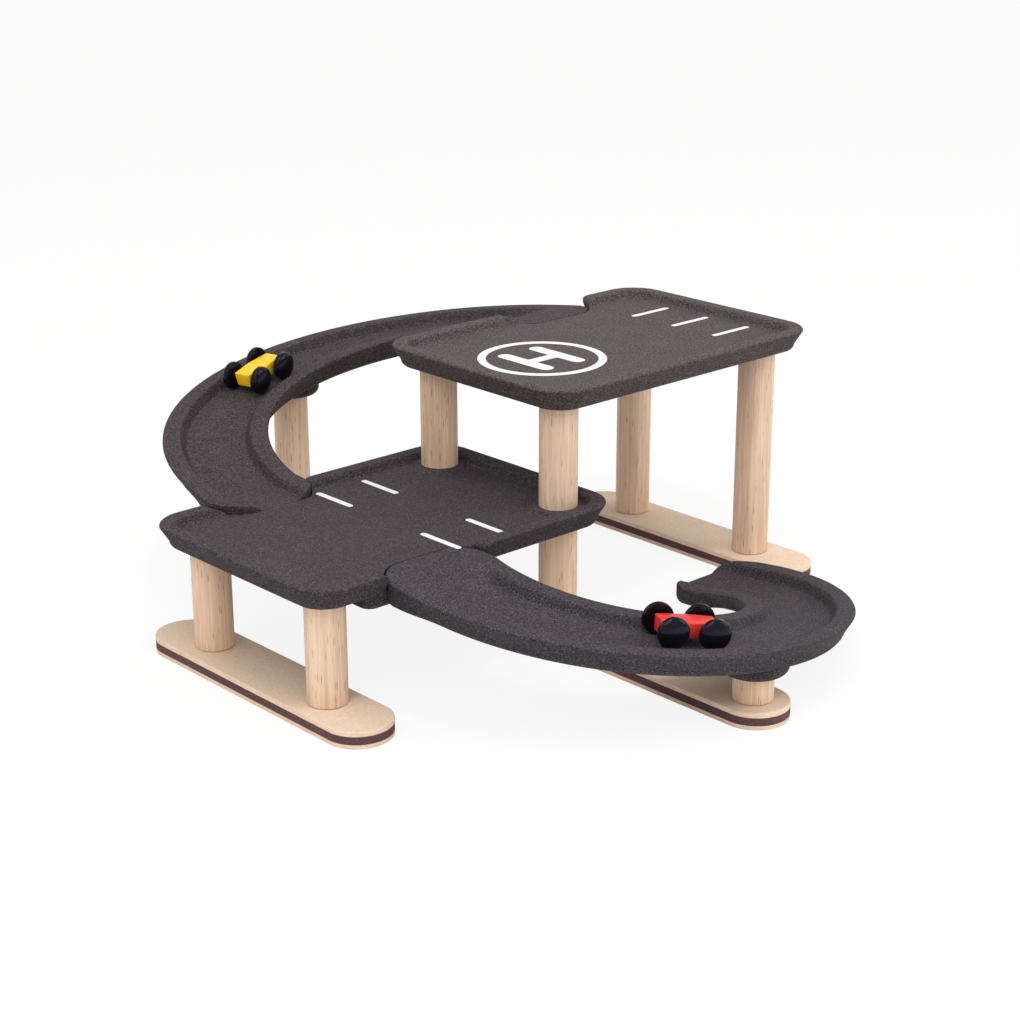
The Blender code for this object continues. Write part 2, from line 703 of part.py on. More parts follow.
def make_car(colour, matrix, body_mat, wheel_mat, axle_mat):
    """A car: body, two axles and four wheels under one empty."""
    place = bpy.data.objects.new(colour + "_car", None)
    bpy.context.scene.collection.objects.link(place)
    place.matrix_world = matrix
    make_car_body(colour + "_car_body", place, body_mat)
    for end, end_name in ((1, "front"), (-1, "rear")):
        make_axle(f"{colour}_car_{end_name}_axle", place, end, axle_mat)
        for side, side_name in ((1, "left"), (-1, "right")):
            make_wheel(f"{colour}_car_{end_name}_{side_name}_wheel", place, end, side, wheel_mat)


def print_joints():
    """Say where each joint's axis is, in world coordinates."""
    bpy.context.view_layer.update()
    for colour in ("yellow", "red"):
        for end_name in ("front", "rear"):
            axle = bpy.data.objects[f"{colour}_car_{end_name}_axle"]
            pos = axle.matrix_world.translation
            axis = (axle.matrix_world.to_3x3() @ Vector((0, 1, 0))).normalized()
            print(axle.name, [round(v, 6) for v in pos], [round(v, 6) for v in axis])


def main():
    """Build the whole garage."""
    clear_scene()
    charcoal = material("charcoal_composite", (0.065, 0.058, 0.060), 0.80)
    pale_wood = material("pale_wood", (0.72, 0.52, 0.34), 0.55)
    pale_ply = material("pale_ply", (0.80, 0.64, 0.47), 0.60)
    dark_core = material("dark_core", (0.12, 0.05, 0.035), 0.65)
    yellow_paint = material("yellow_paint", (0.85, 0.55, 0.02), 0.30)
    red_paint = material("red_paint", (0.80, 0.02, 0.02), 0.30)
    black_gloss = material("black_gloss", (0.012, 0.012, 0.016), 0.15)
    steel = material("steel", (0.60, 0.60, 0.62), 0.30, 1.0)

    side_half = POST_PITCH_Y / 2 + SIDE_BASE_OVERHANG
    middle_half = RAMP_POST_Y + MIDDLE_BASE_OVERHANG
    pair = [-POST_PITCH_Y / 2, POST_PITCH_Y / 2]
    make_base("left", -POST_PITCH_X, side_half, pair, pale_ply, dark_core)
    make_base("middle", 0, middle_half, [-RAMP_POST_Y, *pair, RAMP_POST_Y], pale_ply, dark_core)
    make_base("right", POST_PITCH_X, side_half, pair, pale_ply, dark_core)
    make_posts(pale_wood)
    make_lower_deck(charcoal)
    make_upper_deck(charcoal)
    make_ramp("upper_ramp", UPPER_BOSS_DROP, charcoal)
    lower = make_ramp("lower_ramp", LOWER_BOSS_DROP, charcoal)
    lower.rotation_euler.z = math.pi
    lower.location.z = -LEVEL_RISE
    yellow = car_matrix(math.radians(YELLOW_CAR_ANGLE), YELLOW_CAR_OFFSET,
                        math.radians(YELLOW_CAR_YAW), False)
    make_car("yellow", yellow, yellow_paint, black_gloss, steel)
    red = car_matrix(math.radians(RED_CAR_ANGLE), RED_CAR_OFFSET,
                     math.radians(RED_CAR_YAW), True)
    make_car("red", red, red_paint, black_gloss, steel)
    print_joints()


main()
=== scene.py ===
import json
import math

import bmesh
import bpy
from bpy.props import FloatProperty, FloatVectorProperty, IntProperty, PointerProperty
from mathutils import Matrix, Vector


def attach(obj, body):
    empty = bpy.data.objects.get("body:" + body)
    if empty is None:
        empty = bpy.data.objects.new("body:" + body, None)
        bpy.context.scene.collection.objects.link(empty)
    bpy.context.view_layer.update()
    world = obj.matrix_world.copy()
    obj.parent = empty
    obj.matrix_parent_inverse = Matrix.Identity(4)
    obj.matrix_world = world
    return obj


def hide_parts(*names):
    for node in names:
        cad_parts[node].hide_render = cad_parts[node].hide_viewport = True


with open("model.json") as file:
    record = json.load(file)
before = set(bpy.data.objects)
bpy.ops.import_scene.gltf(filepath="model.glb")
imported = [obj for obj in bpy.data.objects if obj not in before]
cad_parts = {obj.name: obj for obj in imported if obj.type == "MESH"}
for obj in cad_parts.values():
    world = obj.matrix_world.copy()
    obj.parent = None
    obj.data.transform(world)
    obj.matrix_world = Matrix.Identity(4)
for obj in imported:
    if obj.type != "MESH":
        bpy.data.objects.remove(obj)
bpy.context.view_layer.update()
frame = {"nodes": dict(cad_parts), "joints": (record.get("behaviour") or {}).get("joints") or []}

bl_info = {
    "name": "Wooden Toy Parking Garage",
    "version": (1, 0, 0),
    "blender": (4, 5, 0),
    "location": "View3D > Sidebar > Toy Garage",
    "description": "Dresses the toy garage's frame with finished wooden pieces, paint and light",
    "category": "Add Mesh",
}

# Grid of posts and floors, as the frame has them
POST_PITCH_X = 0.2117
POST_PITCH_Y = 0.1300
LEVEL_RISE = 0.0900
TONGUE = 0.0088
LOWER_FLOOR = LEVEL_RISE + TONGUE
UPPER_FLOOR = LOWER_FLOOR + LEVEL_RISE
SEAT_GAP = 0.0003
GLUE_LINE = 0.0001
NOTCH_GAP = 0.0008
ROWS = (-POST_PITCH_Y / 2, POST_PITCH_Y / 2)
TENON_RADIUS = 0.0080
TENON_CHAMFER = 0.0006
SOCKET_RADIUS = TENON_RADIUS + SEAT_GAP
HOLE_PAST = 0.0020
DEEP_PAST = 0.0100
BASE_TENON = 0.0086
DECK_TENON = 0.0075
MID_TENON_UP = 0.0052
MID_TENON_DOWN = 0.0036
BOSS_TENON = 0.0090
SOCKET_DEPTH = 0.0080
BASE_SHEETS = (0.0032, 0.0056, 0.0034)
BASE_HEIGHT = sum(BASE_SHEETS) + 2 * GLUE_LINE
BASE_HALF_WIDTH = 0.0243
SIDE_BASE_OVERHANG = 0.0560
MIDDLE_BASE_OVERHANG = 0.0256
DECK_THICKNESS = 0.0170
DECK_HALF_LENGTH = POST_PITCH_X / 2 + 0.03165
DECK_EDGE = POST_PITCH_Y / 2 + 0.0332
RIM_HEIGHT = 0.0062
UNDER_DECK = DECK_THICKNESS - RIM_HEIGHT
COLLAR_SEAT = 0.0020
COLLAR_SLOPE = 0.0034
WALL_BAND = 0.0002
PAD_DROP = 0.0090
PAD_REACH = 0.0068
PAD_MARGIN = 0.0075
PAD_POST_GAP = 0.0008
PAD_CORNER = 0.0100
PAD_ROUND = 0.0050
PAD_BACK = 0.0080

# Ramps
LAP = 0.0248
RAMP_CENTRE_X = -0.0040
RAMP_OUTER = POST_PITCH_X - BASE_HALF_WIDTH + RAMP_CENTRE_X + 0.0020
RAMP_INNER = RAMP_OUTER - 0.0846
RAMP_INNER_SHIFT = 0.0085
RAMP_THICKNESS = 0.0175
RAMP_END_THICKNESS = 0.0135
RAMP_RIM_SHARE = 0.155
RAMP_COVE_SHARE = 0.084
RIM_CROWN = 0.0009
BEND_START_DROP = 0.0018
BEND_END_RISE = 0.0074
FREE_END_RISE = 0.0065
NOSE_RISE = 0.0024
NOSE_ROUND = 0.0022
TIP_ROUND = 0.0010
TONGUE_PROUD = 0.0003
PROUD_FADE = (0.0240, 0.0480)
TIP_CORNER_OUTER = 0.0240
TIP_CORNER_INNER = 0.0170
TIP_CORNER_POWER = 1.7
START_FADES = ((0.0340, 0.0820), (0.0230, 0.0600))
END_FADE = 0.0180
END_REACHES = {"upper": (0.0100, 0.0070), "lower": (0.0090, 0.0180)}
LEAST_FLAT = 0.0020
STRAIGHT_WALL = (0.0250, 0.0560)
RIM_END_REACH = 0.0075
BOSS_RADIUS = 0.0238
BOSS_ROUND = 0.0055
BOSS_SINK = 0.0052
BOSS_DROPS = {"upper": 0.0128, "lower": 0.0066}
RAMP_POST_Y = DECK_EDGE + RAMP_OUTER - 0.0306
TIP_Y = DECK_EDGE - LAP
RAMP_SPANS = {1: (RAMP_CENTRE_X + RAMP_INNER, RAMP_CENTRE_X + RAMP_OUTER),
              -1: (RAMP_CENTRE_X - RAMP_OUTER, RAMP_CENTRE_X - RAMP_INNER)}

# Cars
BODY_DRAFT = 0.0010
BODY_KINK = 8
BORE_RADIUS = 0.0019
BORE_LENGTH = 0.0400
WHEEL_EDGE = 0.0007
WHEEL_RECESS = 0.0052
HUB_RADIUS = 0.0036
HUB_HEIGHT = 0.0013
HUB_CHAMFER = 0.0003
AXLE_RADIUS = 0.0018
BLIND_BORE = 0.0030
DOME_TURN = 87.0
DOME_STEPS = 22

# Markings
LOWER_LINES = ((-0.1078, 0.0568), (-0.0656, 0.0565), (-0.1074, -0.0607), (-0.0652, -0.0600))
UPPER_LINES = ((0.2013, 0.0390), (0.2020, -0.0034), (0.2029, -0.0452))
LETTER_PLACE = (0.0418, -0.0028)
RING_PLACE = (0.0422, -0.0033)
FILM_LIFT = 0.00001
LINE_ROUND = 0.47
LEG_ROUND = 0.46
BAR_ROUND = 0.0004
BAR_SHIFT = 0.0017
INSIDE_ROUND = 0.0018
NEAR = 0.0002

# Fineness of the round work
POST_SEGMENTS = 72
HOLE_SEGMENTS = 48
DISC_SEGMENTS = 96
BORE_SEGMENTS = 32
RING_SEGMENTS = 160
ROUND_STEPS = 6
EASE_STEPS = 4
SOFT_STEPS = 8
PAD_STEPS = 14
SHOULDER_STEPS = 4
COVE_STEPS = 12
CORNER_STEPS = 20
ARC_STATIONS = 120
LAP_STATIONS = 18
SMOOTH_ANGLE = 32.0
LEVEL_FACE = 0.9
TINY = 0.00001

# Second tones of the finishes
GRAIN_TONE = (0.014, 0.011, 0.014)
# Painted highlight along the pressed wood's rounded edges
EDGE_HIGHLIGHT_TONE = (0.30, 0.27, 0.28)
HEART_TONE = (0.56, 0.34, 0.185)
PALE_WOOD_TONE = (0.90, 0.76, 0.63)
PORE_TONE = (0.26, 0.130, 0.060)
BOARD_SPECK_TONE = (0.60, 0.410, 0.265)
BOARD_FIBRE_TONE = (0.92, 0.79, 0.66)
BOARD_CLOUD_TONE = (0.70, 0.48, 0.32)
BOARD_LAYER_TONE = (0.52, 0.31, 0.18)
BOARD_DOT_TONE = (0.26, 0.15, 0.09)
CORE_DEEP_TONE = (0.042, 0.018, 0.022)
CORE_CLOUD_TONE = (0.150, 0.074, 0.070)
CORE_FLECK_TONE = (0.32, 0.18, 0.145)
YELLOW_TONES = ((1.0, 0.86, 0.40), (0.86, 0.40, 0.010))
RED_TONES = ((0.96, 0.30, 0.22), (0.46, 0.012, 0.016))
LACQUER_BROWN_TONE = (0.012, 0.008, 0.009)
# Painted reflection ring at the wheels' edges, with some wear
LACQUER_WEAR_AND_GLINT_TONE = (0.075, 0.070, 0.092)
LACQUER_SHINE = (0.62, 0.70, 1.0, 1.0)
SMOKE_TONE = (0.34, 0.33, 0.34)
WHITE_GRAIN_TONE = (0.66, 0.65, 0.65)
WHITE_CLOUD_TONE = (0.72, 0.70, 0.69)

# Steepness over which the wood's year lines fade out: most pieces, and the upper ramp
LINED = (0.20, 0.42)
UPPER_RAMP_LINED = (0.62, 0.84)

# View of the photograph: place, line of sight, right hand and lens
VIEW_PLACE = (-0.9660, -1.0665, 0.5892)
VIEW_AHEAD = (0.63737, 0.69448, -0.33385)
VIEW_RIGHT = (0.73627, -0.67669, -0.00202)
VIEW_LENS = 72.62
VIEW_SENSOR = 36.0
VIEW_START = 0.05

# Stage
FLOOR_SIZE = 9.0
WHITE = (1.0, 1.0, 1.0)
SKY_TONE = (1.0, 0.985, 0.97)
LAMP_AIM = (0.0, 0.0, 0.09)
LAMPS = (("key", (-0.95, -0.75, 1.75), 1.0), ("fill", (1.3, -1.5, 1.0), 0.8),
         ("spark", (-0.35, -0.60, 1.90), 0.11))


def length(label, text, default):
    """A size in metres that the panel shows."""
    return FloatProperty(name=label, description=text, default=default, min=0.0,
                         precision=4, subtype="DISTANCE", unit="LENGTH")


def colour(label, text, default):
    """A colour that the panel shows."""
    return FloatVectorProperty(name=label, description=text, default=default, size=3,
                               min=0.0, max=1.0, subtype="COLOR")


class GarageSizes(bpy.types.PropertyGroup):
    """Sizes of the garage's wooden pieces."""

    post_radius: length("Post radius", "Half the thickness of a turned post", 0.0140)
    post_ease: length("Post edge", "Eased edge at a post's ends", 0.0008)
    base_ease: length("Base edge", "Rounding along the edges of a base", 0.0008)
    deck_corner: length("Deck corner", "Radius of a deck's corners in plan", 0.0280)
    rim_width: length("Rim width", "Flat of the rim round a deck", 0.0100)
    rim_edge: length("Rim edge", "Rounding of the rim's outer edge", 0.0018)
    cove: length("Cove", "Width of the soft cove from rim to floor", 0.0058)
    side_taper: length("Side taper", "How far a deck's wall leans in towards its foot", 0.0062)
    bottom_round: length("Bottom round", "Rounding where wall and underside meet", 0.0050)
    collar_radius: length("Collar radius", "Foot of the raised ring round an upper post", 0.0215)
    collar_height: length("Collar height", "Height of the raised ring", 0.0020)
    trough_depth: length("Trough depth", "Depth of the ramps' troughs", 0.0076)


class CarSizes(bpy.types.PropertyGroup):
    """Sizes of the two small cars."""

    body_length: length("Body length", "Length of a car's body", 0.0413)
    waist: length("Waist", "Half width of the body at its middle", 0.0092)
    nose: length("Nose", "Half width of the body at its ends", 0.0072)
    body_top: length("Body top", "Height of the body above the axles", 0.0056)
    body_bottom: length("Body bottom", "Depth of the body below the axles", 0.0054)
    body_round: length("Body edge", "Rounding of the body's edges", 0.0009)
    wheel_radius: length("Wheel radius", "Radius of a wheel", 0.0110)
    wheel_tread: length("Wheel tread", "Straight part of a wheel's rim", 0.0030)
    wheel_thickness: length("Wheel thickness", "Thickness of a wheel over its dome", 0.0068)
    overall_width: length("Overall width", "Width of a car over its wheels", 0.0374)


class MarkingSizes(bpy.types.PropertyGroup):
    """Sizes of the white markings."""

    line_length: length("Line length", "Length of a parking line", 0.0405)
    line_width: length("Line width", "Width of a parking line", 0.0048)
    ring_radius: length("Ring radius", "Outer radius of the landing ring", 0.0478)
    ring_width: length("Ring width", "Width of the landing ring's stroke", 0.0062)
    letter_height: length("Letter height", "Length of the landing letter's legs", 0.0545)
    letter_width: length("Letter width", "Width over the letter's legs", 0.0428)
    leg_width: length("Leg width", "Stroke of the letter's legs", 0.0112)
    bar_width: length("Bar width", "Stroke of the letter's bar", 0.0092)
    film: length("Paint film", "Thickness of the white paint", 0.00012)


class GarageColours(bpy.types.PropertyGroup):
    """Colours of the finishes."""

    # Lit and shaded copies of one charcoal stain: the upper deck's is painted lighter for the
    # stronger light on the top level, the lower deck's and both ramps' are painted darker for their
    # shade
    lit_upper_charcoal: colour("Upper deck", "Stained pressed wood of the upper deck",
                           (0.098, 0.078, 0.083))
    shaded_lower_charcoal: colour("Lower deck", "Stained pressed wood of the lower deck",
                           (0.061, 0.049, 0.056))
    upper_ramp_charcoal: colour("Upper ramp", "Stained pressed wood of the upper ramp",
                                (0.064, 0.049, 0.054))
    lower_ramp_charcoal: colour("Lower ramp", "Stained pressed wood of the lower ramp",
                                (0.060, 0.050, 0.059))
    fleck: colour("Fleck", "Pale flecks in the pressed wood", (0.30, 0.26, 0.27))
    post_wood: colour("Post wood", "Turned posts", (0.775, 0.560, 0.395))
    post_streak: colour("Post streak", "Darker streaks in the posts", (0.48, 0.275, 0.150))
    board: colour("Board", "Pale sheets of the bases", (0.800, 0.630, 0.485))
    core: colour("Core", "Dark middle sheet of the bases", (0.092, 0.038, 0.042))
    yellow: colour("Yellow", "Paint of the first car", (0.93, 0.585, 0.006))
    red: colour("Red", "Paint of the second car", (0.76, 0.040, 0.032))
    black: colour("Black", "Lacquer of the wheels", (0.0045, 0.0042, 0.0065))
    white: colour("White", "Paint of the markings", (0.80, 0.80, 0.80))
    steel: colour("Steel", "Axles", (0.56, 0.56, 0.58))


class StageSettings(bpy.types.PropertyGroup):
    """Floor and light."""

    floor: colour("Floor", "Plain floor under the garage", (0.93, 0.925, 0.92))
    floor_share: FloatProperty(name="Shadow share", description="Share of real light in the floor",
                               default=0.13, min=0.0, max=1.0, subtype="FACTOR")
    sky: FloatProperty(name="Sky", description="Strength of the even light all round",
                       default=0.80, min=0.0)
    key: FloatProperty(name="Key lamp", description="Power of the large soft lamp in watts",
                       default=18.0, min=0.0)
    fill: FloatProperty(name="Fill lamp", description="Power of the smaller soft lamp in watts",
                        default=12.0, min=0.0)
    spark: FloatProperty(name="Spark lamp", description="Power of the small lamp overhead in watts",
                         default=6.0, min=0.0)
    lamp_size: FloatProperty(name="Lamp size", description="Side of the large soft lamp",
                             default=1.6, min=0.1, unit="LENGTH", subtype="DISTANCE")
    segments: IntProperty(name="Floor cuts", description="Cuts across the floor's sheet",
                          default=4, min=1, max=32)


class Wire:
    """A socket of a material, so that sums on it are written as plain expressions."""

    def __init__(self, socket):
        self.socket = socket

    def node(self, kind, settings, values, output=0):
        """Add a node: its settings first, then the values or links of its sockets."""
        tree = self.socket.id_data
        made = tree.nodes.new(kind)
        for key, value in settings.items():
            setattr(made, key, value)
        for key, value in values.items():
            if isinstance(value, Wire):
                tree.links.new(value.socket, made.inputs[key])
            elif isinstance(value, (tuple, list)) and made.inputs[key].type == "RGBA":
                made.inputs[key].default_value = (*value, 1.0)
            else:
                made.inputs[key].default_value = value
        return Wire(made.outputs[output])

    def maths(self, operation, *terms):
        """A Math node."""
        return self.node("ShaderNodeMath", {"operation": operation}, dict(enumerate(terms)))

    def __add__(self, other):
        return self.maths("ADD", self, other)

    def __radd__(self, other):
        return self.maths("ADD", other, self)

    def __sub__(self, other):
        return self.maths("SUBTRACT", self, other)

    def __rsub__(self, other):
        return self.maths("SUBTRACT", other, self)

    def __mul__(self, other):
        return self.maths("MULTIPLY", self, other)

    def __abs__(self):
        return self.maths("ABSOLUTE", self)

    def stripes(self):
        """Soft dark stripes from a running number."""
        return self.maths("SINE", self).ramp(-0.2, 1.0)

    def part(self, axis):
        """One part of a vector."""
        return self.node("ShaderNodeSeparateXYZ", {}, {"Vector": self}, axis)

    def ramp(self, low, high):
        """0 below low and 1 above high, with a soft step between them."""
        settings = {"interpolation_type": "SMOOTHSTEP", "clamp": True}
        return self.node("ShaderNodeMapRange", settings,
                         {"Value": self, "From Min": low, "From Max": high,
                          "To Min": 0.0, "To Max": 1.0})

    def stretch(self, scale, turn=(0, 0, 0)):
        """The same place, scaled along each axis and turned."""
        return self.node("ShaderNodeMapping", {},
                         {"Vector": self, "Scale": scale, "Rotation": turn})

    def noise(self, scale, detail=3.0, rough=0.5, distortion=0.0):
        """Cloudy noise between 0 and 1 on this place."""
        return self.node("ShaderNodeTexNoise", {},
                         {"Vector": self, "Scale": scale, "Detail": detail,
                          "Roughness": rough, "Distortion": distortion})

    def cells(self, scale, output="Distance"):
        """Cells on this place: how far their middle is, or a colour for each."""
        return self.node("ShaderNodeTexVoronoi", {}, {"Vector": self, "Scale": scale}, output)

    def dots(self, scale, size, share):
        """Dots in some of the cells: steps of their size and of which cells have one."""
        return ((1 - self.cells(scale).ramp(*size))
                * self.cells(scale, "Color").part(0).ramp(*share))

    def tint(self, share, other, kind="MIX"):
        """This colour mixed with another one."""
        return self.node("ShaderNodeMix", {"data_type": "RGBA", "blend_type": kind},
                         {0: share, 6: self, 7: other}, 2)


class Finish:
    """A material with a Principled shader and the place on the object."""

    def __init__(self, name):
        self.material = bpy.data.materials.new(name)
        self.material.use_nodes = True
        self.tree = self.material.node_tree
        self.shader = self.tree.nodes["Principled BSDF"]
        self.place = Wire(self.tree.nodes.new("ShaderNodeTexCoord").outputs["Object"])
        self.facing = Wire(self.tree.nodes.new("ShaderNodeNewGeometry").outputs["Normal"])

    def flat(self, tint):
        """A colour as a wire."""
        return self.place.node("ShaderNodeMix", {"data_type": "RGBA"},
                               {0: 0.0, 6: tuple(tint), 7: tuple(tint)}, 2)

    def feed(self, **sockets):
        """Values and wires for the shader's sockets; spaces are written as underscores."""
        for key, value in sockets.items():
            socket = self.shader.inputs[key.replace("_", " ")]
            if isinstance(value, Wire):
                self.tree.links.new(value.socket, socket)
            else:
                socket.default_value = value

    def bump(self, height, strength, distance=0.0003):
        """Relief from a height."""
        values = {"Height": height, "Strength": strength, "Distance": distance}
        made = self.place.node("ShaderNodeBump", {}, values)
        self.tree.links.new(made.socket, self.shader.inputs["Normal"])

    def edges(self, radius):
        """Where a sharp edge is within reach, between 0 and 1."""
        soft = self.place.node("ShaderNodeBevel", {"samples": 6}, {"Radius": radius})
        close = self.place.node("ShaderNodeVectorMath", {"operation": "DOT_PRODUCT"},
                                {0: soft, 1: self.facing}, "Value")
        return (1 - close).ramp(0.01, 0.16)


def charcoal_finish(name, stain, colours, lined=LINED):
    """Stained pressed wood: coarse grains and pale flecks, with painted shade on upright faces and
    a painted highlight along the edges.
    """
    made = Finish(name + "_pressed_wood")
    place = made.place
    cloud = place.noise(38.0, 3.0, 0.6)
    mottle = place.noise(360.0, 3.0, 0.65)
    grain = place.noise(900.0, 2.0, 0.6).ramp(0.30, 0.70)
    flecks = place.dots(700.0, (0.20, 0.52), (0.45, 0.95))
    grains = ((1 - place.stretch((1.0, 1.0, 1.4)).cells(700.0).ramp(0.18, 0.46))
              * place.cells(700.0, "Color").part(1).ramp(0.58, 0.78))
    upright = abs(made.facing.part(2))
    # Painted shade: upright faces are made up to 30 percent darker than level ones
    steep = 1 - upright.ramp(0.30, 0.90)
    lines = (place.part(2) * 4300.0 + place.noise(14.0, 2.0, 0.5) * 70.0).stripes()
    lines = lines * (1 - upright.ramp(*lined)) * place.noise(9.0, 2.0, 0.5).ramp(0.42, 0.56)
    level = 0.30 + grain * 1.04 + (mottle - 0.5) * 0.90 + (cloud - 0.5) * 0.34
    level = level * (1 - steep * 0.30) * (1 - lines * 0.50)
    tone = level.node("ShaderNodeCombineXYZ", {}, {0: level, 1: level, 2: level})
    base = made.flat(stain).tint(1.0, tone, "MULTIPLY").tint(grains * 0.66, GRAIN_TONE)
    # Pale flecks, then a painted highlight along the rounded edges
    base = base.tint(flecks * 0.24, tuple(colours.fleck)).tint(made.edges(0.0010) * 0.10, EDGE_HIGHLIGHT_TONE)
    made.feed(Base_Color=base, Roughness=0.74 + mottle * 0.14 - flecks * 0.10,
              Specular_IOR_Level=0.26)
    made.bump(grain * 0.5 + mottle * 0.5 - grains * 0.4 + flecks * 0.3, 0.36, 0.0005)
    return made.material


def post_finish(colours):
    """Pale plantation wood with streaks along the post and short dark pores."""
    made = Finish("pale_turned_wood")
    place, streak = made.place, tuple(colours.post_streak)
    sway = place.stretch((9.0, 9.0, 3.2)).noise(1.0, 2.0, 0.5)
    along = place.stretch((1.0, 1.0, 0.030))
    broad = along.noise(110.0, 3.0, 0.6, 0.5)
    fine = along.noise(700.0, 3.0, 0.65)
    pores = place.stretch((1.0, 1.0, 0.10)).dots(800.0, (0.14, 0.40), (0.70, 0.84))
    heart = place.stretch((1.0, 1.0, 0.10)).noise(26.0, 2.0, 0.5, 0.8)
    rings = (place.part(0) * 1050.0 + place.part(1) * 760.0 + sway * 26.0).stripes()
    base = made.flat(colours.post_wood).tint(broad.ramp(0.36, 0.68) * 0.42, streak)
    base = base.tint(rings * 0.16, streak).tint(heart.ramp(0.48, 0.72) * 0.34, HEART_TONE)
    base = base.tint(fine.ramp(0.42, 0.70) * 0.46, PALE_WOOD_TONE).tint(pores * 0.62, PORE_TONE)
    made.feed(Base_Color=base, Roughness=0.52 + fine * 0.16 + pores * 0.12,
              Specular_IOR_Level=0.30)
    made.bump(fine * 0.4 + rings * 0.12 - pores * 0.9, 0.24)
    return made.material


def board_finish(colours):
    """Pale pressed board of the bases: fine speckle and few dark dots."""
    made = Finish("pale_board")
    place = made.place
    cloud = place.noise(36.0, 3.0, 0.6)
    speck = place.noise(950.0, 3.0, 0.7)
    fibre = place.stretch((1.0, 0.22, 1.0), (0, 0, 0.35)).noise(800.0, 2.0, 0.6)
    dots = place.dots(460.0, (0.10, 0.30), (0.88, 0.97))
    steep = 1 - abs(made.facing.part(2)).ramp(0.35, 0.80)
    layers = place.stretch((0.06, 0.06, 1.0)).noise(1500.0, 2.0, 0.6).ramp(0.40, 0.64) * steep
    base = made.flat(colours.board).tint(speck.ramp(0.36, 0.66) * 0.46, BOARD_SPECK_TONE)
    base = base.tint(fibre.ramp(0.48, 0.72) * 0.34, BOARD_FIBRE_TONE)
    base = base.tint(cloud.ramp(0.44, 0.74) * 0.20, BOARD_CLOUD_TONE)
    base = base.tint(layers * 0.42, BOARD_LAYER_TONE).tint(dots * 0.62, BOARD_DOT_TONE)
    made.feed(Base_Color=base, Roughness=0.54 + speck * 0.18, Specular_IOR_Level=0.34)
    made.bump(speck * 0.5 + fibre * 0.4 - dots * 0.6 - layers * 0.5, 0.20)
    return made.material


def core_finish(colours):
    """Dark pressed middle sheet of the bases."""
    made = Finish("dark_core_board")
    speck = made.place.noise(950.0, 3.0, 0.7)
    cloud = made.place.noise(70.0, 2.0, 0.5)
    flecks = made.place.dots(700.0, (0.14, 0.42), (0.72, 0.88))
    base = made.flat(colours.core).tint(speck.ramp(0.38, 0.70) * 0.50, CORE_DEEP_TONE)
    base = base.tint(cloud.ramp(0.45, 0.70) * 0.22, CORE_CLOUD_TONE)
    base = base.tint(flecks * 0.46, CORE_FLECK_TONE)
    made.feed(Base_Color=base, Roughness=0.62 + speck * 0.14, Specular_IOR_Level=0.36)
    made.bump(speck, 0.28)
    return made.material


def paint_finish(name, tint, light, deep):
    """Brushed gloss paint on wood, lighter at the edges: partly paint wear, partly a painted
    highlight.
    """
    made = Finish(name)
    cloud = made.place.noise(130.0, 3.0, 0.6)
    peel = made.place.noise(520.0, 3.0, 0.6)
    brush = made.place.stretch((1.0, 0.3, 1.0)).noise(900.0, 2.0, 0.5)
    base = made.flat(tint).tint(cloud.ramp(0.42, 0.72) * 0.26, deep)
    # Lighter edges: partly paint wear, partly a painted highlight
    base = base.tint(brush.ramp(0.52, 0.80) * 0.14, light).tint(made.edges(0.0009) * 0.60, light)
    made.feed(Base_Color=base, Roughness=0.34 + peel * 0.14, Coat_Weight=0.15,
              Coat_Roughness=0.20, Specular_IOR_Level=0.30)
    made.bump(peel * 0.6 + cloud * 0.4, 0.10)
    return made.material


def lacquer_finish(colours):
    """Glossy black lacquer, a little brown where the wood shows through, and lighter and bluish at
    the edges: partly wear, partly a painted reflection.
    """
    made = Finish("black_gloss_lacquer")
    cloud = made.place.noise(260.0, 3.0, 0.6)
    dust = made.place.noise(1600.0, 2.0, 0.6)
    wear_and_glint = made.edges(0.0006)
    base = made.flat(colours.black).tint(cloud.ramp(0.42, 0.75) * 0.45, LACQUER_BROWN_TONE)
    # Painted reflection: a bluish light ring along the edges, with some wear
    base = base.tint(wear_and_glint * 0.45, LACQUER_WEAR_AND_GLINT_TONE)
    made.feed(Base_Color=base, Roughness=0.10 + cloud * 0.08 + wear_and_glint * 0.16,
              Specular_IOR_Level=0.24, Specular_Tint=LACQUER_SHINE)
    made.bump(cloud * 0.8 + dust * 0.2, 0.06)
    return made.material


def steel_finish(colours):
    """Drawn steel wire of the axles."""
    made = Finish("drawn_steel")
    lines = made.place.stretch((1.0, 0.05, 1.0)).noise(2400.0, 3.0, 0.6)
    smoke = made.place.noise(300.0, 2.0, 0.5)
    base = made.flat(colours.steel).tint(smoke.ramp(0.4, 0.7) * 0.3, SMOKE_TONE)
    made.feed(Base_Color=base, Roughness=0.26 + lines * 0.2, Metallic=1.0)
    made.bump(lines, 0.08, 0.0002)
    return made.material


def marking_finish(colours):
    """White paint with the pressed wood's relief under it."""
    made = Finish("white_marking_paint")
    grain = made.place.noise(1250.0, 2.0, 0.7)
    cloud = made.place.noise(150.0, 3.0, 0.6)
    base = made.flat(colours.white).tint(grain.ramp(0.55, 0.85) * 0.22, WHITE_GRAIN_TONE)
    base = base.tint(cloud.ramp(0.5, 0.8) * 0.10, WHITE_CLOUD_TONE)
    made.feed(Base_Color=base, Roughness=0.50 + grain * 0.15, Specular_IOR_Level=0.4)
    made.bump(grain, 0.14)
    return made.material


FINISHES = {}


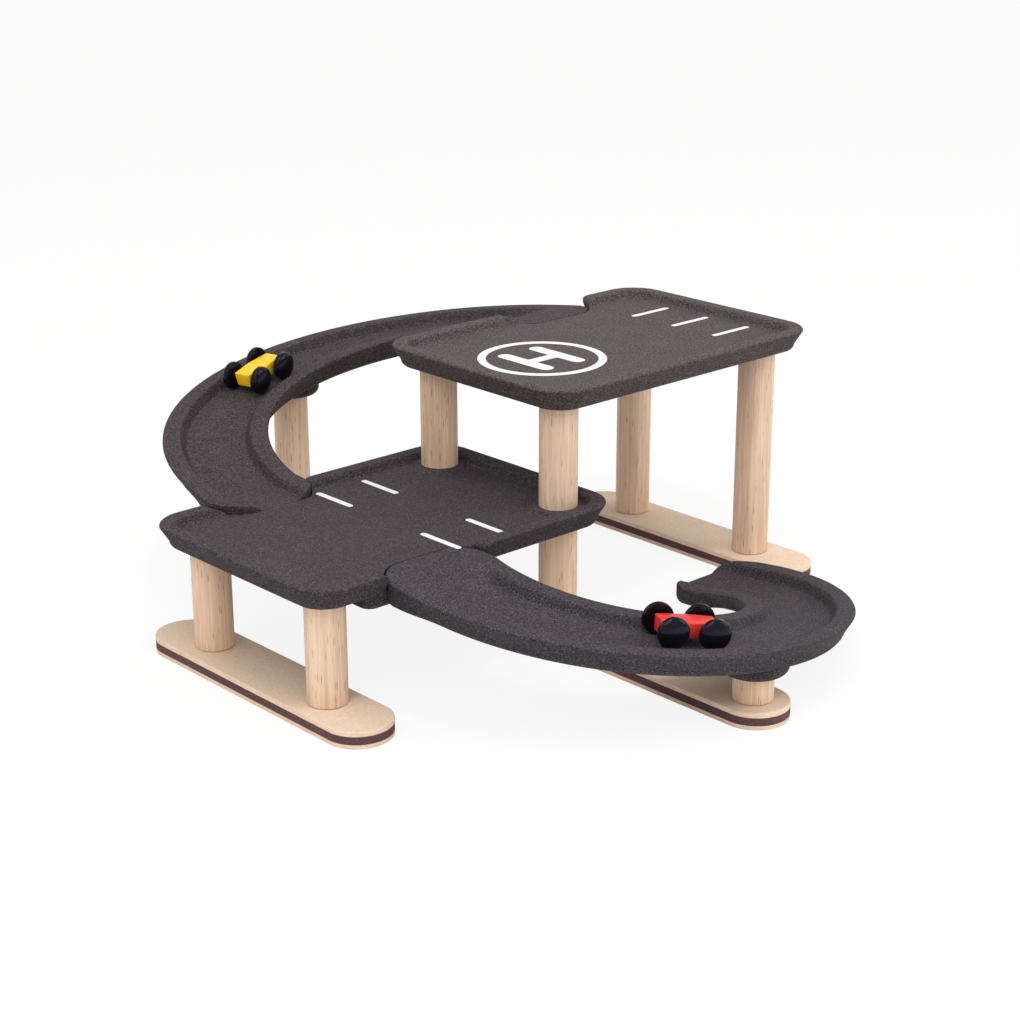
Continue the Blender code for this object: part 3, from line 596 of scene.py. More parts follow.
def finish(name):
    """One finish of the garage by its name, made when it is first asked for."""
    hues = bpy.context.scene.garage_colours
    makers = {
        # The deck and ramp finishes are copies of one charcoal that differ by painted light and
        # shade
        "upper_deck": (charcoal_finish, name, hues.lit_upper_charcoal, hues),
        "lower_deck": (charcoal_finish, name, hues.shaded_lower_charcoal, hues),
        "upper_ramp": (charcoal_finish, name, hues.upper_ramp_charcoal, hues, UPPER_RAMP_LINED),
        "lower_ramp": (charcoal_finish, name, hues.lower_ramp_charcoal, hues),
        "posts": (post_finish, hues), "board": (board_finish, hues), "core": (core_finish, hues),
        "yellow": (paint_finish, "yellow_gloss_paint", hues.yellow, *YELLOW_TONES),
        "red": (paint_finish, "red_gloss_paint", hues.red, *RED_TONES),
        "black": (lacquer_finish, hues), "steel": (steel_finish, hues),
        "white": (marking_finish, hues),
    }
    if name not in FINISHES:
        maker, *values = makers[name]
        FINISHES[name] = maker(*values)
    return FINISHES[name]


def only(piece):
    """Select one piece and nothing else."""
    bpy.ops.object.select_all(action="DESELECT")
    piece.select_set(True)
    bpy.context.view_layer.objects.active = piece


def begin(name, add, **settings):
    """Start a piece from a primitive."""
    bpy.ops.object.select_all(action="DESELECT")
    add(**settings)
    piece = bpy.context.object
    piece.name = name
    piece.data.name = name
    return piece


def block(name, add, place, size):
    """Start a piece from a cube or a plane of a given size."""
    piece = begin(name, add, size=1, location=place)
    bpy.ops.transform.resize(value=size)
    bpy.ops.object.transform_apply(location=False, rotation=False, scale=True)
    return piece


def add_object(name, data):
    """A new object in the scene."""
    made = bpy.data.objects.new(name, data)
    bpy.context.scene.collection.objects.link(made)
    return made


def axes(x, y, z):
    """The turn that lays the axes along three directions."""
    return Matrix((x, y, z)).transposed().to_4x4()


def edit(piece, kind="FACE"):
    """Open a piece in edit mode with nothing picked."""
    only(piece)
    bpy.ops.object.mode_set(mode="EDIT")
    bpy.ops.mesh.select_mode(type=kind)
    bpy.ops.mesh.select_all(action="DESELECT")


def every(kind=None):
    """Pick everything on the open piece."""
    if kind:
        bpy.ops.mesh.select_mode(type=kind)
    bpy.ops.mesh.select_all(action="SELECT")


def thicken(rise):
    """Draw a flat sheet out along Z."""
    every("FACE")
    bpy.ops.mesh.extrude_region_move(TRANSFORM_OT_translate={"value": (0, 0, rise)})


def leave():
    """Back to object mode."""
    bpy.ops.object.mode_set(mode="OBJECT")


def pick(piece, kind, wanted):
    """Pick the faces, edges or verts that a test wants."""
    bpy.ops.mesh.select_all(action="DESELECT")
    mesh = bmesh.from_edit_mesh(piece.data)
    mesh.normal_update()
    found = [part for part in getattr(mesh, kind) if wanted(part)]
    if not found:
        raise RuntimeError(f"nothing to pick on {piece.name}")
    for part in found:
        part.select_set(True)
    mesh.select_flush_mode()
    bmesh.update_edit_mesh(piece.data)


def pick_cap(piece, sign):
    """Pick the faces that look straight up (1) or straight down (-1)."""
    pick(piece, "faces", lambda face: face.normal.z * sign > LEVEL_FACE)


def step_in(profile):
    """Inset the picked face through (inset, rise) points, one after the other."""
    at = (0.0, 0.0)
    for inset, rise in profile:
        bpy.ops.mesh.inset(thickness=max(inset - at[0], 0.0), depth=rise - at[1],
                           use_even_offset=True, use_boundary=True)
        at = (inset, rise)


def faces_out(piece):
    """Point every face outwards."""
    edit(piece)
    every()
    bpy.ops.mesh.normals_make_consistent(inside=False)
    leave()


def apply_place(piece):
    """Move a piece's place into its mesh."""
    only(piece)
    bpy.ops.object.transform_apply(location=True, rotation=True, scale=True)


def place_at(piece, matrix):
    """Put a piece where a matrix says, with its place in its mesh."""
    piece.matrix_world = matrix
    bpy.context.view_layer.update()
    apply_place(piece)


def copy_of(piece, name):
    """A copy with its own mesh."""
    other = add_object(name, piece.data.copy())
    other.data.name = name
    return other


def combine(piece, cutter, operation):
    """Cut a piece with another one, or join the two, and take the other one away."""
    only(piece)
    bpy.ops.object.modifier_add(type="BOOLEAN")
    modifier = piece.modifiers[-1]
    modifier.operation = operation
    modifier.solver = "EXACT"
    modifier.object = cutter
    bpy.ops.object.modifier_apply(modifier=modifier.name)
    bpy.data.objects.remove(cutter, do_unlink=True)


def settle(piece, body, look, nodes=()):
    """Finish a piece: normals, place, shading, material, body and what it stands for."""
    faces_out(piece)
    apply_place(piece)
    only(piece)
    bpy.ops.object.shade_smooth_by_angle(angle=math.radians(SMOOTH_ANGLE))
    piece.data.materials.clear()
    piece.data.materials.append(look)
    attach(piece, body)
    if nodes:
        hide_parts(*nodes)
    return piece


def round_bar(name, x, y, low, high, radius, segments=POST_SEGMENTS):
    """A plain upright cylinder, as a start or as a cutter."""
    return begin(name, bpy.ops.mesh.primitive_cylinder_add, vertices=segments, radius=radius,
                 depth=high - low, location=(x, y, (low + high) / 2))


def drill(piece, x, y, low, high, radius=SOCKET_RADIUS, segments=HOLE_SEGMENTS):
    """Cut an upright round hole."""
    combine(piece, round_bar("hole", x, y, low, high, radius, segments), "DIFFERENCE")


def turns(span, steps, first=1):
    """Even angles up to a span."""
    return [span * k / steps for k in range(first, steps + 1)]


def quarter(radius, steps=ROUND_STEPS):
    """(inset, rise) points of a quarter round, from a wall in to a face."""
    return [(radius * (1 - math.cos(a)), radius * math.sin(a)) for a in turns(math.pi / 2, steps)]


def turn_post(name, x, y, foot, head, tenons, sizes):
    """A turned post: eased ends and a tenon at both."""
    radius, ease = sizes.post_radius, sizes.post_ease
    post = round_bar(name, x, y, foot + ease, head - ease, radius)
    edit(post)
    shoulder = radius - TENON_RADIUS
    for sign, tenon in zip((-1, 1), tenons):
        pick_cap(post, sign)
        step_in(quarter(ease, EASE_STEPS)
                + [(shoulder, ease), (shoulder, ease + tenon - TENON_CHAMFER),
                   (shoulder + TENON_CHAMFER, ease + tenon)])
    leave()
    return post


def ramp_lengths():
    """Mean length of one lap, of the bend and of the whole ramp."""
    lap = LAP + RAMP_INNER_SHIFT / 2
    bend = math.pi * (RAMP_OUTER + RAMP_INNER) / 2
    return lap, bend, 2 * lap + bend


def ramp_line(run):
    """Height of the ramp's fall line after a run along its middle."""
    lap, bend, total = ramp_lengths()
    marks = [(0.0, UPPER_FLOOR), (lap, UPPER_FLOOR - BEND_START_DROP),
             (lap + bend, LOWER_FLOOR + BEND_END_RISE),
             (total - END_FADE, LOWER_FLOOR + FREE_END_RISE), (total, LOWER_FLOOR + NOSE_RISE)]
    for (run0, z0), (run1, z1) in zip(marks, marks[1:]):
        if run <= run1:
            break
    return z0 + (z1 - z0) * (run - run0) / (run1 - run0)


def fade(value, low, high):
    """Smooth step from 0 at low to 1 at high."""
    t = min(max((value - low) / (high - low), 0.0), 1.0)
    return t * t * (3 - 2 * t)


def ramp_tops(run, level):
    """Heights of the outer and inner rims of one ramp; both round down at its low end."""
    lap, bend, total = ramp_lengths()
    if run >= total - END_FADE:
        falls = [min(max(1 - (total - run) / reach, 0.0), 1.0) for reach in END_REACHES[level]]
        return [LOWER_FLOOR + NOSE_RISE + (FREE_END_RISE - NOSE_RISE) * math.sqrt(1 - t * t)
                for t in falls]
    t = min(max((run - lap) / bend, 0.0), 1.0)
    top = ramp_line(run) + RIM_CROWN * math.sin(math.pi * t)
    top += TONGUE_PROUD * (1 - fade(run, *PROUD_FADE))
    return [top, top]


def trough_floors(run, level, trough):
    """Heights of the trough's floor by the outer and the inner rim."""
    total = ramp_lengths()[2]
    low = LOWER_FLOOR + TONGUE_PROUD * fade(run, total - END_FADE, total)
    tops = ramp_tops(run, level)
    floors = [max(tops[0] - trough * fade(run, *opening), low) for opening in START_FADES]
    return [min(floor, *tops) for floor in floors]


def tip_drop(run):
    """How far a tip's rounded top edge lies below its full height."""
    lap, _, total = ramp_lengths()
    drop = 0.0
    for reach, radius in ((run, TIP_ROUND), (total - run, NOSE_ROUND)):
        left = max(radius - reach * LAP / lap, 0.0)
        drop = max(drop, radius - math.sqrt(radius * radius - left * left))
    return drop


def ramp_bottom(run, part):
    """Underside of the ramp: thin tongues, full slab between them, never below its foot."""
    if part == "tongue":
        return UPPER_FLOOR - TONGUE
    lap, bend, _ = ramp_lengths()
    t = fade(run, lap + bend / 2, 2 * lap + bend)
    thickness = RAMP_THICKNESS + (RAMP_END_THICKNESS - RAMP_THICKNESS) * t
    return max(ramp_line(run) - thickness, LOWER_FLOOR - TONGUE)


def corner_inset(distance, radius):
    """How far a tip's soft corner draws an edge in at a distance from the tip."""
    if distance >= radius:
        return 0.0
    t = 1 - distance / radius
    return radius * (1 - (1 - t ** TIP_CORNER_POWER) ** (1 / TIP_CORNER_POWER))


def lap_station(side, distance):
    """Edges of a tongue at a distance from its tip; side is 1 at the start, -1 at the end."""
    outer_x = RAMP_OUTER - corner_inset(distance, TIP_CORNER_OUTER)
    inner_x = RAMP_INNER + corner_inset(distance, TIP_CORNER_INNER)
    inner_y = TIP_Y + distance / LAP * (LAP + RAMP_INNER_SHIFT)
    return ((RAMP_CENTRE_X + side * outer_x, TIP_Y + distance),
            (RAMP_CENTRE_X + side * inner_x, inner_y))


def bend_station(angle):
    """Edges of the bend at an angle from the start side, in radians."""
    c, s = math.cos(angle), math.sin(angle)
    return ((RAMP_CENTRE_X + RAMP_OUTER * c, DECK_EDGE + RAMP_OUTER * s),
            (RAMP_CENTRE_X + RAMP_INNER * c, DECK_EDGE + RAMP_INNER_SHIFT + RAMP_INNER * s))


def ramp_stations():
    """(outer, inner, run, part) for each section, from the start's tip to the end's."""
    lap, bend, total = ramp_lengths()
    shoulder = LAP - PAD_REACH + NOTCH_GAP
    tip = [(shoulder - SEAT_GAP) * (k / LAP_STATIONS) ** 2 for k in range(LAP_STATIONS + 1)]
    rest = [shoulder + (LAP - shoulder) * k / SHOULDER_STEPS for k in range(1, SHOULDER_STEPS)]
    stations = [(*lap_station(1, d), lap * d / LAP, "tongue") for d in tip]
    stations += [(*lap_station(1, d), lap * d / LAP, "slab") for d in [shoulder] + rest]
    stations += [(*bend_station(math.pi * turn), lap + bend * turn, "slab")
                 for turn in turns(1.0, ARC_STATIONS, 0)]
    stations += [(*lap_station(-1, d), total - lap * d / LAP, "slab") for d in reversed(tip + rest)]
    return stations


def wall_profile(thickness, taper, sizes):
    """(inset, drop) points of an outer wall, from the underside up to the rim's flat."""
    foot, edge, rise = sizes.bottom_round, sizes.rim_edge, turns(math.pi / 2, ROUND_STEPS, 0)
    points = [(taper + foot * (1 - math.sin(a)), thickness - foot * (1 - math.cos(a)))
              for a in rise]
    return points + [(edge * (1 - math.cos(a)), edge * (1 - math.sin(a))) for a in rise]


def cove_profile(start, width, depth):
    """(inset, drop) points from the rim's flat down a soft cove to the floor."""
    return [(start + width * a / math.pi, depth * (1 - math.cos(a)) / 2)
            for a in turns(math.pi, COVE_STEPS, 0)]


def ramp_section(outer, inner, tops, floors, bottom, trims, taper, sizes):
    """Ring of points across the ramp, from its outer foot over the rims and back."""
    outer, inner = Vector(outer), Vector(inner)
    width = (outer - inner).length
    across = (inner - outer) / width
    full = width + sum(trims)
    halves = []
    for top, floor, trim in zip(tops, floors, trims):
        flat = max(RAMP_RIM_SHARE * full - trim, sizes.rim_edge + LEAST_FLAT)
        cove = cove_profile(flat, RAMP_COVE_SHARE * full, top - floor)
        wall = wall_profile(top - bottom, taper, sizes)
        halves.append([(inset, top - drop) for inset, drop in wall + cove])
    ring = [(*(outer + across * inset), z) for inset, z in halves[0]]
    ring += [(*(outer + across * (width - inset)), z) for inset, z in reversed(halves[1])]
    return ring


def ramp_rings(level, sizes):
    """Sections of one ramp from its start's tip to its end's."""
    lap, _, total = ramp_lengths()
    rings = []
    for outer, inner, run, part in ramp_stations():
        drop = tip_drop(run)
        near = min(run, total - run)
        trims = [corner_inset(near * LAP / lap, r) for r in (TIP_CORNER_OUTER, TIP_CORNER_INNER)]
        taper = sizes.side_taper * fade(near, *STRAIGHT_WALL)
        tops = [top - drop for top in ramp_tops(run, level)]
        floors = [floor - drop for floor in trough_floors(run, level, sizes.trough_depth)]
        rings.append(ramp_section(outer, inner, tops, floors, ramp_bottom(run, part), trims,
                                  taper, sizes))
    return rings


def skin(name, rings):
    """Closed piece through equal rings of points, with a flat cap on both ends."""
    made = bmesh.new()
    rows = [[made.verts.new(point) for point in ring] for ring in rings]
    for low, high in zip(rows, rows[1:]):
        for i in range(len(low)):
            j = (i + 1) % len(low)
            made.faces.new((low[i], low[j], high[j], high[i]))
    made.faces.new(rows[0])
    made.faces.new(rows[-1])
    bmesh.ops.recalc_face_normals(made, faces=made.faces)
    data = bpy.data.meshes.new(name)
    made.to_mesh(data)
    made.free()
    return add_object(name, data)


def slot_outline(side, gap):
    """Plan of a ramp's tongue with a gap all round, open towards +Y."""
    outer_edge, inner_edge = [], []
    for k in range(LAP_STATIONS + 1):
        outer, inner = lap_station(side, LAP * (k / LAP_STATIONS) ** 2)
        outer_edge.append((outer[0] + side * gap, outer[1] - gap))
        inner_edge.append((inner[0] - side * gap, inner[1] - gap))
    far = DECK_EDGE + PAD_REACH
    return ([(inner_edge[-1][0], far)] + inner_edge[::-1] + outer_edge
            + [(outer_edge[-1][0], far)])


def slot_cutter(side, floor, half_turn):
    """Cutter that lets a tongue into a deck and rounds over the rim's ends."""
    sign = -1 if half_turn else 1
    levels = [(NOTCH_GAP, floor - TONGUE - SEAT_GAP)]
    levels += [(NOTCH_GAP + RIM_END_REACH * (1 - math.cos(a)),
                floor + SEAT_GAP + (RIM_HEIGHT - SEAT_GAP) * math.sin(a))
               for a in turns(math.pi / 2, 2 * ROUND_STEPS, 0)]
    levels.append((NOTCH_GAP + RIM_END_REACH, floor + 2 * RIM_HEIGHT))
    return skin("slot_cutter", [[(sign * x, sign * y, z) for x, y in slot_outline(side, gap)]
                                for gap, z in levels])


def pad_block(side, floor, half_turn, sizes):
    """Rounded pad that thickens a deck under a notch and reaches to the side's post."""
    sign = -1 if half_turn else 1
    near, far = RAMP_SPANS[side]
    reach = POST_PITCH_X - sizes.post_radius - PAD_POST_GAP
    x0, x1 = max(near - PAD_MARGIN, -reach), reach if far > 0 else far + PAD_MARGIN
    y0, y1 = TIP_Y - PAD_BACK, DECK_EDGE - PAD_REACH
    pad = block("pad", bpy.ops.mesh.primitive_cube_add,
                (sign * (x0 + x1) / 2, sign * (y0 + y1) / 2, floor - UNDER_DECK),
                (x1 - x0, y1 - y0, 2 * PAD_DROP))
    bevel_edges(pad, lambda e: abs(e.verts[0].co.z - e.verts[1].co.z) > PAD_DROP, PAD_CORNER,
                PAD_STEPS)
    bevel_edges(pad, lambda e: all(v.co.z < NEAR - PAD_DROP for v in e.verts), PAD_ROUND,
                SOFT_STEPS)
    return pad


def collar_ring(x, y, floor, sizes):
    """Low soft ring round an upper post."""
    ring = round_bar("collar", x, y, floor - RIM_HEIGHT / 2, floor, sizes.collar_radius,
                     DISC_SEGMENTS)
    edit(ring)
    pick_cap(ring, 1)
    step_in(cove_profile(0.0, COLLAR_SLOPE, sizes.collar_height)[1:])
    leave()
    return ring


def make_dish(name, x, floor, sizes):
    """A dished deck: tapered wall, rim, cove and floor, stepped in from one sheet."""
    dish = block(name, bpy.ops.mesh.primitive_plane_add,
                 (x, 0, floor + RIM_HEIGHT - sizes.rim_edge),
                 (2 * DECK_HALF_LENGTH, 2 * DECK_EDGE, 1))
    edit(dish, "VERT")
    every()
    bpy.ops.mesh.bevel(offset=sizes.deck_corner, segments=CORNER_STEPS, affect="VERTICES")
    thicken(-WALL_BAND)
    every()
    bpy.ops.mesh.normals_make_consistent(inside=False)
    pick_cap(dish, -1)
    wall = DECK_THICKNESS - sizes.rim_edge - WALL_BAND - sizes.bottom_round
    foot = [(0.0, 0.0)] + quarter(sizes.bottom_round)
    step_in([(sizes.side_taper + inset, wall + rise) for inset, rise in foot])
    pick_cap(dish, 1)
    step_in(quarter(sizes.rim_edge)
            + [(inset, sizes.rim_edge - drop)
               for inset, drop in cove_profile(sizes.rim_width, sizes.cove, RIM_HEIGHT)])
    leave()
    apply_place(dish)
    return dish


def make_strip(name, x, half_length, z0, z1):
    """One sheet of a base: a strip with round ends."""
    sheet = round_bar(name, x, 0, z0, z1, BASE_HALF_WIDTH, DISC_SEGMENTS)
    run = half_length - BASE_HALF_WIDTH
    edit(sheet, "VERT")
    for sign in (-1, 1):
        pick(sheet, "verts", lambda v: (v.co.y > -TINY) == (sign > 0))
        bpy.ops.transform.translate(value=(0, sign * run, 0))
    leave()
    return sheet


def bevel_edges(piece, wanted, width, steps=3):
    """Round the edges that a test wants."""
    edit(piece, "EDGE")
    pick(piece, "edges", wanted)
    bpy.ops.mesh.bevel(offset=width, segments=steps, affect="EDGES", clamp_overlap=True)
    leave()


def car_frames(name):
    """Places of a car's front axle, rear axle and middle, from the frame's joints."""
    lines = {joint["name"]: joint for joint in frame["joints"]}
    front, rear = [lines[f"{name}_car_{end}_roll"] for end in ("front", "rear")]
    left = Vector(front["axis"]).normalized()
    front, rear = Vector(front["pos_m"]), Vector(rear["pos_m"])
    ahead = (front - rear).normalized()
    left = (left - ahead * left.dot(ahead)).normalized()
    turn = axes(ahead, left, ahead.cross(left))
    places = {"front": front, "rear": rear, "middle": (front + rear) / 2}
    return {key: Matrix.Translation(place) @ turn for key, place in places.items()}


def make_body(name, sizes):
    """A car's body: a block drawn out at its waist, with drafted sides and soft edges."""
    top, bottom = sizes.body_top, sizes.body_bottom
    body = block(name, bpy.ops.mesh.primitive_cube_add, (0, 0, (top - bottom) / 2),
                 (sizes.body_length, 2 * sizes.nose, top + bottom))
    apply_place(body)
    edit(body, "EDGE")
    every()
    bpy.ops.mesh.bisect(plane_co=(0, 0, 0), plane_no=(1, 0, 0), use_fill=False)
    bpy.ops.mesh.select_mode(type="VERT")
    drafts = (1 - BODY_DRAFT / (sizes.body_length / 2), 1 - BODY_DRAFT / sizes.waist, 1)
    for wanted, value in ((lambda v: abs(v.co.x) < TINY, (1, sizes.waist / sizes.nose, 1)),
                          (lambda v: v.co.z < 0, drafts)):
        pick(body, "verts", wanted)
        bpy.ops.transform.resize(value=value, center_override=(0, 0, 0))
    leave()
    bevel_edges(body, lambda e: e.calc_face_angle(0.0) > math.radians(BODY_KINK),
                sizes.body_round, EASE_STEPS)
    return body


def make_wheel(name, sizes):
    """A domed wheel along +Z from its inner face, with a hub and a blind bore."""
    radius, tread = sizes.wheel_radius, sizes.wheel_tread
    dome = sizes.wheel_thickness - tread
    wheel = round_bar(name, 0, 0, WHEEL_EDGE, tread, radius)
    edit(wheel)
    pick_cap(wheel, 1)
    step_in([(radius * (1 - math.cos(a)), dome * math.sin(a))
             for a in turns(math.radians(DOME_TURN), DOME_STEPS)])
    pick_cap(wheel, -1)
    hub, bore, top = radius - HUB_RADIUS, radius - AXLE_RADIUS, WHEEL_EDGE + HUB_HEIGHT
    step_in(quarter(WHEEL_EDGE, EASE_STEPS)
            + [(radius - WHEEL_RECESS, WHEEL_EDGE), (hub, WHEEL_EDGE), (hub, top),
               (hub + HUB_CHAMFER, top + HUB_CHAMFER), (bore, top + HUB_CHAMFER),
               (bore, WHEEL_EDGE - BLIND_BORE)])
    leave()
    return wheel


def film_of(name, place, size, corner, film):
    """A flat stroke of paint with round ends."""
    x, y, floor = place
    stroke = block(name, bpy.ops.mesh.primitive_plane_add, (x, y, floor + FILM_LIFT), (*size, 1))
    edit(stroke, "VERT")
    every()
    bpy.ops.mesh.bevel(offset=corner, segments=SOFT_STEPS, affect="VERTICES")
    thicken(film)
    leave()
    faces_out(stroke)
    apply_place(stroke)
    return stroke


def by_ray(owner, output, real, seen, share):
    """A shader tree that lights with one shader and shows the camera a share of another."""
    owner.use_nodes = True
    tree = owner.node_tree
    tree.nodes.clear()
    ray = Wire(tree.nodes.new("ShaderNodeLightPath").outputs["Is Camera Ray"])
    mix = ray.node("ShaderNodeMixShader", {}, {0: ray * share, 1: ray.node(real[0], {}, real[1]),
                                               2: ray.node(seen[0], {}, seen[1])})
    tree.links.new(mix.socket, tree.nodes.new(output).inputs["Surface"])


class GARAGE_OT_bases(bpy.types.Operator):
    """Build the three bases, each of a pale sheet, a dark core and a pale sheet"""

    bl_idname = "garage.bases"
    bl_label = "Bases"

    def execute(self, context):
        sizes = context.scene.garage_sizes
        side_half = POST_PITCH_Y / 2 + SIDE_BASE_OVERHANG
        rows = (("left", -POST_PITCH_X, side_half, ROWS),
                ("middle", 0.0, RAMP_POST_Y + MIDDLE_BASE_OVERHANG,
                 (-RAMP_POST_Y, *ROWS, RAMP_POST_Y)),
                ("right", POST_PITCH_X, side_half, ROWS))
        bottom, core, top = BASE_SHEETS
        core_z = bottom + GLUE_LINE
        top_z = core_z + core + GLUE_LINE
        sheets = (("bottom_ply", 0.0, bottom, "board", "pale_ply"),
                  ("core", core_z, core_z + core, "core", "dark_core"),
                  ("top_ply", top_z, top_z + top, "board", "pale_ply"))
        for side, x, half, sockets in rows:
            for part, z0, z1, look, slot in sheets:
                node = f"{side}_base_{part}"
                sheet = make_strip(node + "_dressed", x, half, z0, z1)
                if part != "core":
                    high = part == "top_ply"
                    bevel_edges(sheet, lambda e: all((v.co.z > 0) == high for v in e.verts),
                                sizes.base_ease)
                if part != "bottom_ply":
                    for y in sockets:
                        drill(sheet, x, y, z0 - HOLE_PAST, z1 + HOLE_PAST)
                settle(sheet, "garage", finish(look), (node,))
        return {"FINISHED"}


class GARAGE_OT_posts(bpy.types.Operator):
    """Turn the ten posts"""

    bl_idname = "garage.posts"
    bl_label = "Posts"

    def execute(self, context):
        sizes = context.scene.garage_sizes
        look = finish("posts")
        foot = BASE_HEIGHT + SEAT_GAP
        low_head = LOWER_FLOOR - UNDER_DECK - SEAT_GAP
        high_head = UPPER_FLOOR - UNDER_DECK - SEAT_GAP
        collar_foot = LOWER_FLOOR - COLLAR_SEAT + SEAT_GAP
        kinds = (("left_{}_post", -POST_PITCH_X, foot, low_head, (BASE_TENON, DECK_TENON)),
                 ("middle_{}_lower_post", 0.0, foot, low_head, (BASE_TENON, MID_TENON_UP)),
                 ("middle_{}_upper_post", 0.0, collar_foot, high_head,
                  (MID_TENON_DOWN, DECK_TENON)),
                 ("right_{}_post", POST_PITCH_X, foot, high_head, (BASE_TENON, DECK_TENON)))
        for name, x, low, high, tenons in kinds:
            node = name.format("front")
            post = turn_post(node + "_dressed", x, ROWS[0], low, high, tenons, sizes)
            apply_place(post)
            other = copy_of(post, name.format("back") + "_dressed")
            other.location.y = POST_PITCH_Y
            settle(post, "garage", look, (node,))
            settle(other, "garage", look, (name.format("back"),))
        lap, bend, _ = ramp_lengths()
        slab = ramp_line(lap + bend / 2) - RAMP_THICKNESS - SEAT_GAP
        for node, y, fall in (("tall_ramp_post", RAMP_POST_Y, BOSS_DROPS["upper"]),
                              ("short_ramp_post", -RAMP_POST_Y, BOSS_DROPS["lower"] + LEVEL_RISE)):
            post = turn_post(node + "_dressed", 0.0, y, foot, slab - fall,
                             (BASE_TENON, BOSS_TENON), sizes)
            settle(post, "garage", look, (node,))
        return {"FINISHED"}


class GARAGE_OT_decks(bpy.types.Operator):
    """Shape the two dished decks with their notches, pads, collars and sockets"""

    bl_idname = "garage.decks"
    bl_label = "Decks"

    def execute(self, context):
        sizes = context.scene.garage_sizes
        decks = (("lower_deck", -POST_PITCH_X / 2, LOWER_FLOOR, ((-1, False), (1, True)),
                  (-POST_PITCH_X,)),
                 ("upper_deck", POST_PITCH_X / 2, UPPER_FLOOR, ((1, False),),
                  (0.0, POST_PITCH_X)))
        for node, middle, floor, notches, columns in decks:
            deck = make_dish(node + "_dressed", middle, floor, sizes)
            for side, half_turn in notches:
                combine(deck, pad_block(side, floor, half_turn, sizes), "UNION")
            collars = ROWS if node == "lower_deck" else ()
            for y in collars:
                combine(deck, collar_ring(0.0, y, floor, sizes), "UNION")
            for side, half_turn in notches:
                combine(deck, slot_cutter(side, floor, half_turn), "DIFFERENCE")
            under = floor - UNDER_DECK
            for x, y in [(x, y) for x in columns for y in ROWS]:
                drill(deck, x, y, under - PAD_DROP, under + SOCKET_DEPTH)
                if collars:
                    drill(deck, 0.0, y, floor - COLLAR_SEAT, floor + DEEP_PAST,
                          sizes.post_radius + SEAT_GAP, POST_SEGMENTS)
                    drill(deck, 0.0, y, under - DEEP_PAST, floor)
            settle(deck, "garage", finish(node), (node,))
        return {"FINISHED"}


class GARAGE_OT_ramps(bpy.types.Operator):
    """Shape the two curved trough ramps with their bosses"""

    bl_idname = "garage.ramps"
    bl_label = "Ramps"

    def execute(self, context):
        sizes = context.scene.garage_sizes
        lap, bend, _ = ramp_lengths()
        for level, drop in BOSS_DROPS.items():
            ramp = skin(level + "_ramp_dressed", ramp_rings(level, sizes))
            low = ramp_line(lap + bend / 2) - RAMP_THICKNESS - drop
            boss = round_bar("boss", 0.0, RAMP_POST_Y, low + BOSS_ROUND,
                             low + drop + BOSS_SINK, BOSS_RADIUS, DISC_SEGMENTS)
            edit(boss)
            pick_cap(boss, -1)
            step_in(quarter(BOSS_ROUND))
            leave()
            combine(ramp, boss, "UNION")
            drill(ramp, 0.0, RAMP_POST_Y, low - DEEP_PAST, low + BOSS_TENON + SEAT_GAP)
            if level == "lower":
                place_at(ramp, Matrix.Translation((0, 0, -LEVEL_RISE))
                         @ Matrix.Rotation(math.pi, 4, "Z"))
            node = level + "_ramp"
            settle(ramp, "garage", finish(node), (node,))
        return {"FINISHED"}


class GARAGE_OT_car_bodies(bpy.types.Operator):
    """Shape and paint the bodies of the two cars"""

    bl_idname = "garage.car_bodies"
    bl_label = "Car bodies"

    def execute(self, context):
        sizes = context.scene.car_sizes
        first = make_body("car_body", sizes)
        for name in ("yellow", "red"):
            body = copy_of(first, name + "_car_body_dressed")
            places = car_frames(name)
            gap = (places["front"].translation - places["rear"].translation).length
            for x in (-gap / 2, gap / 2):
                bore = begin("bore", bpy.ops.mesh.primitive_cylinder_add, vertices=BORE_SEGMENTS,
                             radius=BORE_RADIUS, depth=BORE_LENGTH, location=(x, 0, 0),
                             rotation=(math.pi / 2, 0, 0))
                combine(body, bore, "DIFFERENCE")
            place_at(body, places["middle"])
            settle(body, name + "_car", finish(name), (name + "_car_body",))
        bpy.data.objects.remove(first, do_unlink=True)
        return {"FINISHED"}


class GARAGE_OT_wheels(bpy.types.Operator):
    """Turn one domed wheel and copy it to all eight places"""

    bl_idname = "garage.wheels"
    bl_label = "Wheels"

    def execute(self, context):
        sizes = context.scene.car_sizes
        look = finish("black")
        first = make_wheel("wheel", sizes)
        apply_place(first)
        inner_face = sizes.overall_width / 2 - sizes.wheel_thickness
        for name in ("yellow", "red"):
            places = car_frames(name)
            for end in ("front", "rear"):
                for side, hand in ((1, "left"), (-1, "right")):
                    node = f"{name}_car_{end}_{hand}_wheel"
                    wheel = copy_of(first, node + "_dressed")
                    turn = Matrix.Rotation(-math.pi / 2 * side, 4, "X")
                    shift = Matrix.Translation((0, side * inner_face, 0))
                    place_at(wheel, places[end] @ shift @ turn)
                    settle(wheel, f"{name}_car_{end}_wheels", look, (node,))
        bpy.data.objects.remove(first, do_unlink=True)
        return {"FINISHED"}


class GARAGE_OT_axles(bpy.types.Operator):
    """Give the axles of the frame their steel"""

    bl_idname = "garage.axles"
    bl_label = "Axles"

    def execute(self, context):
        look = finish("steel")
        for node, piece in frame["nodes"].items():
            if node.endswith("_axle"):
                piece.data.materials.clear()
                piece.data.materials.append(look)
        return {"FINISHED"}


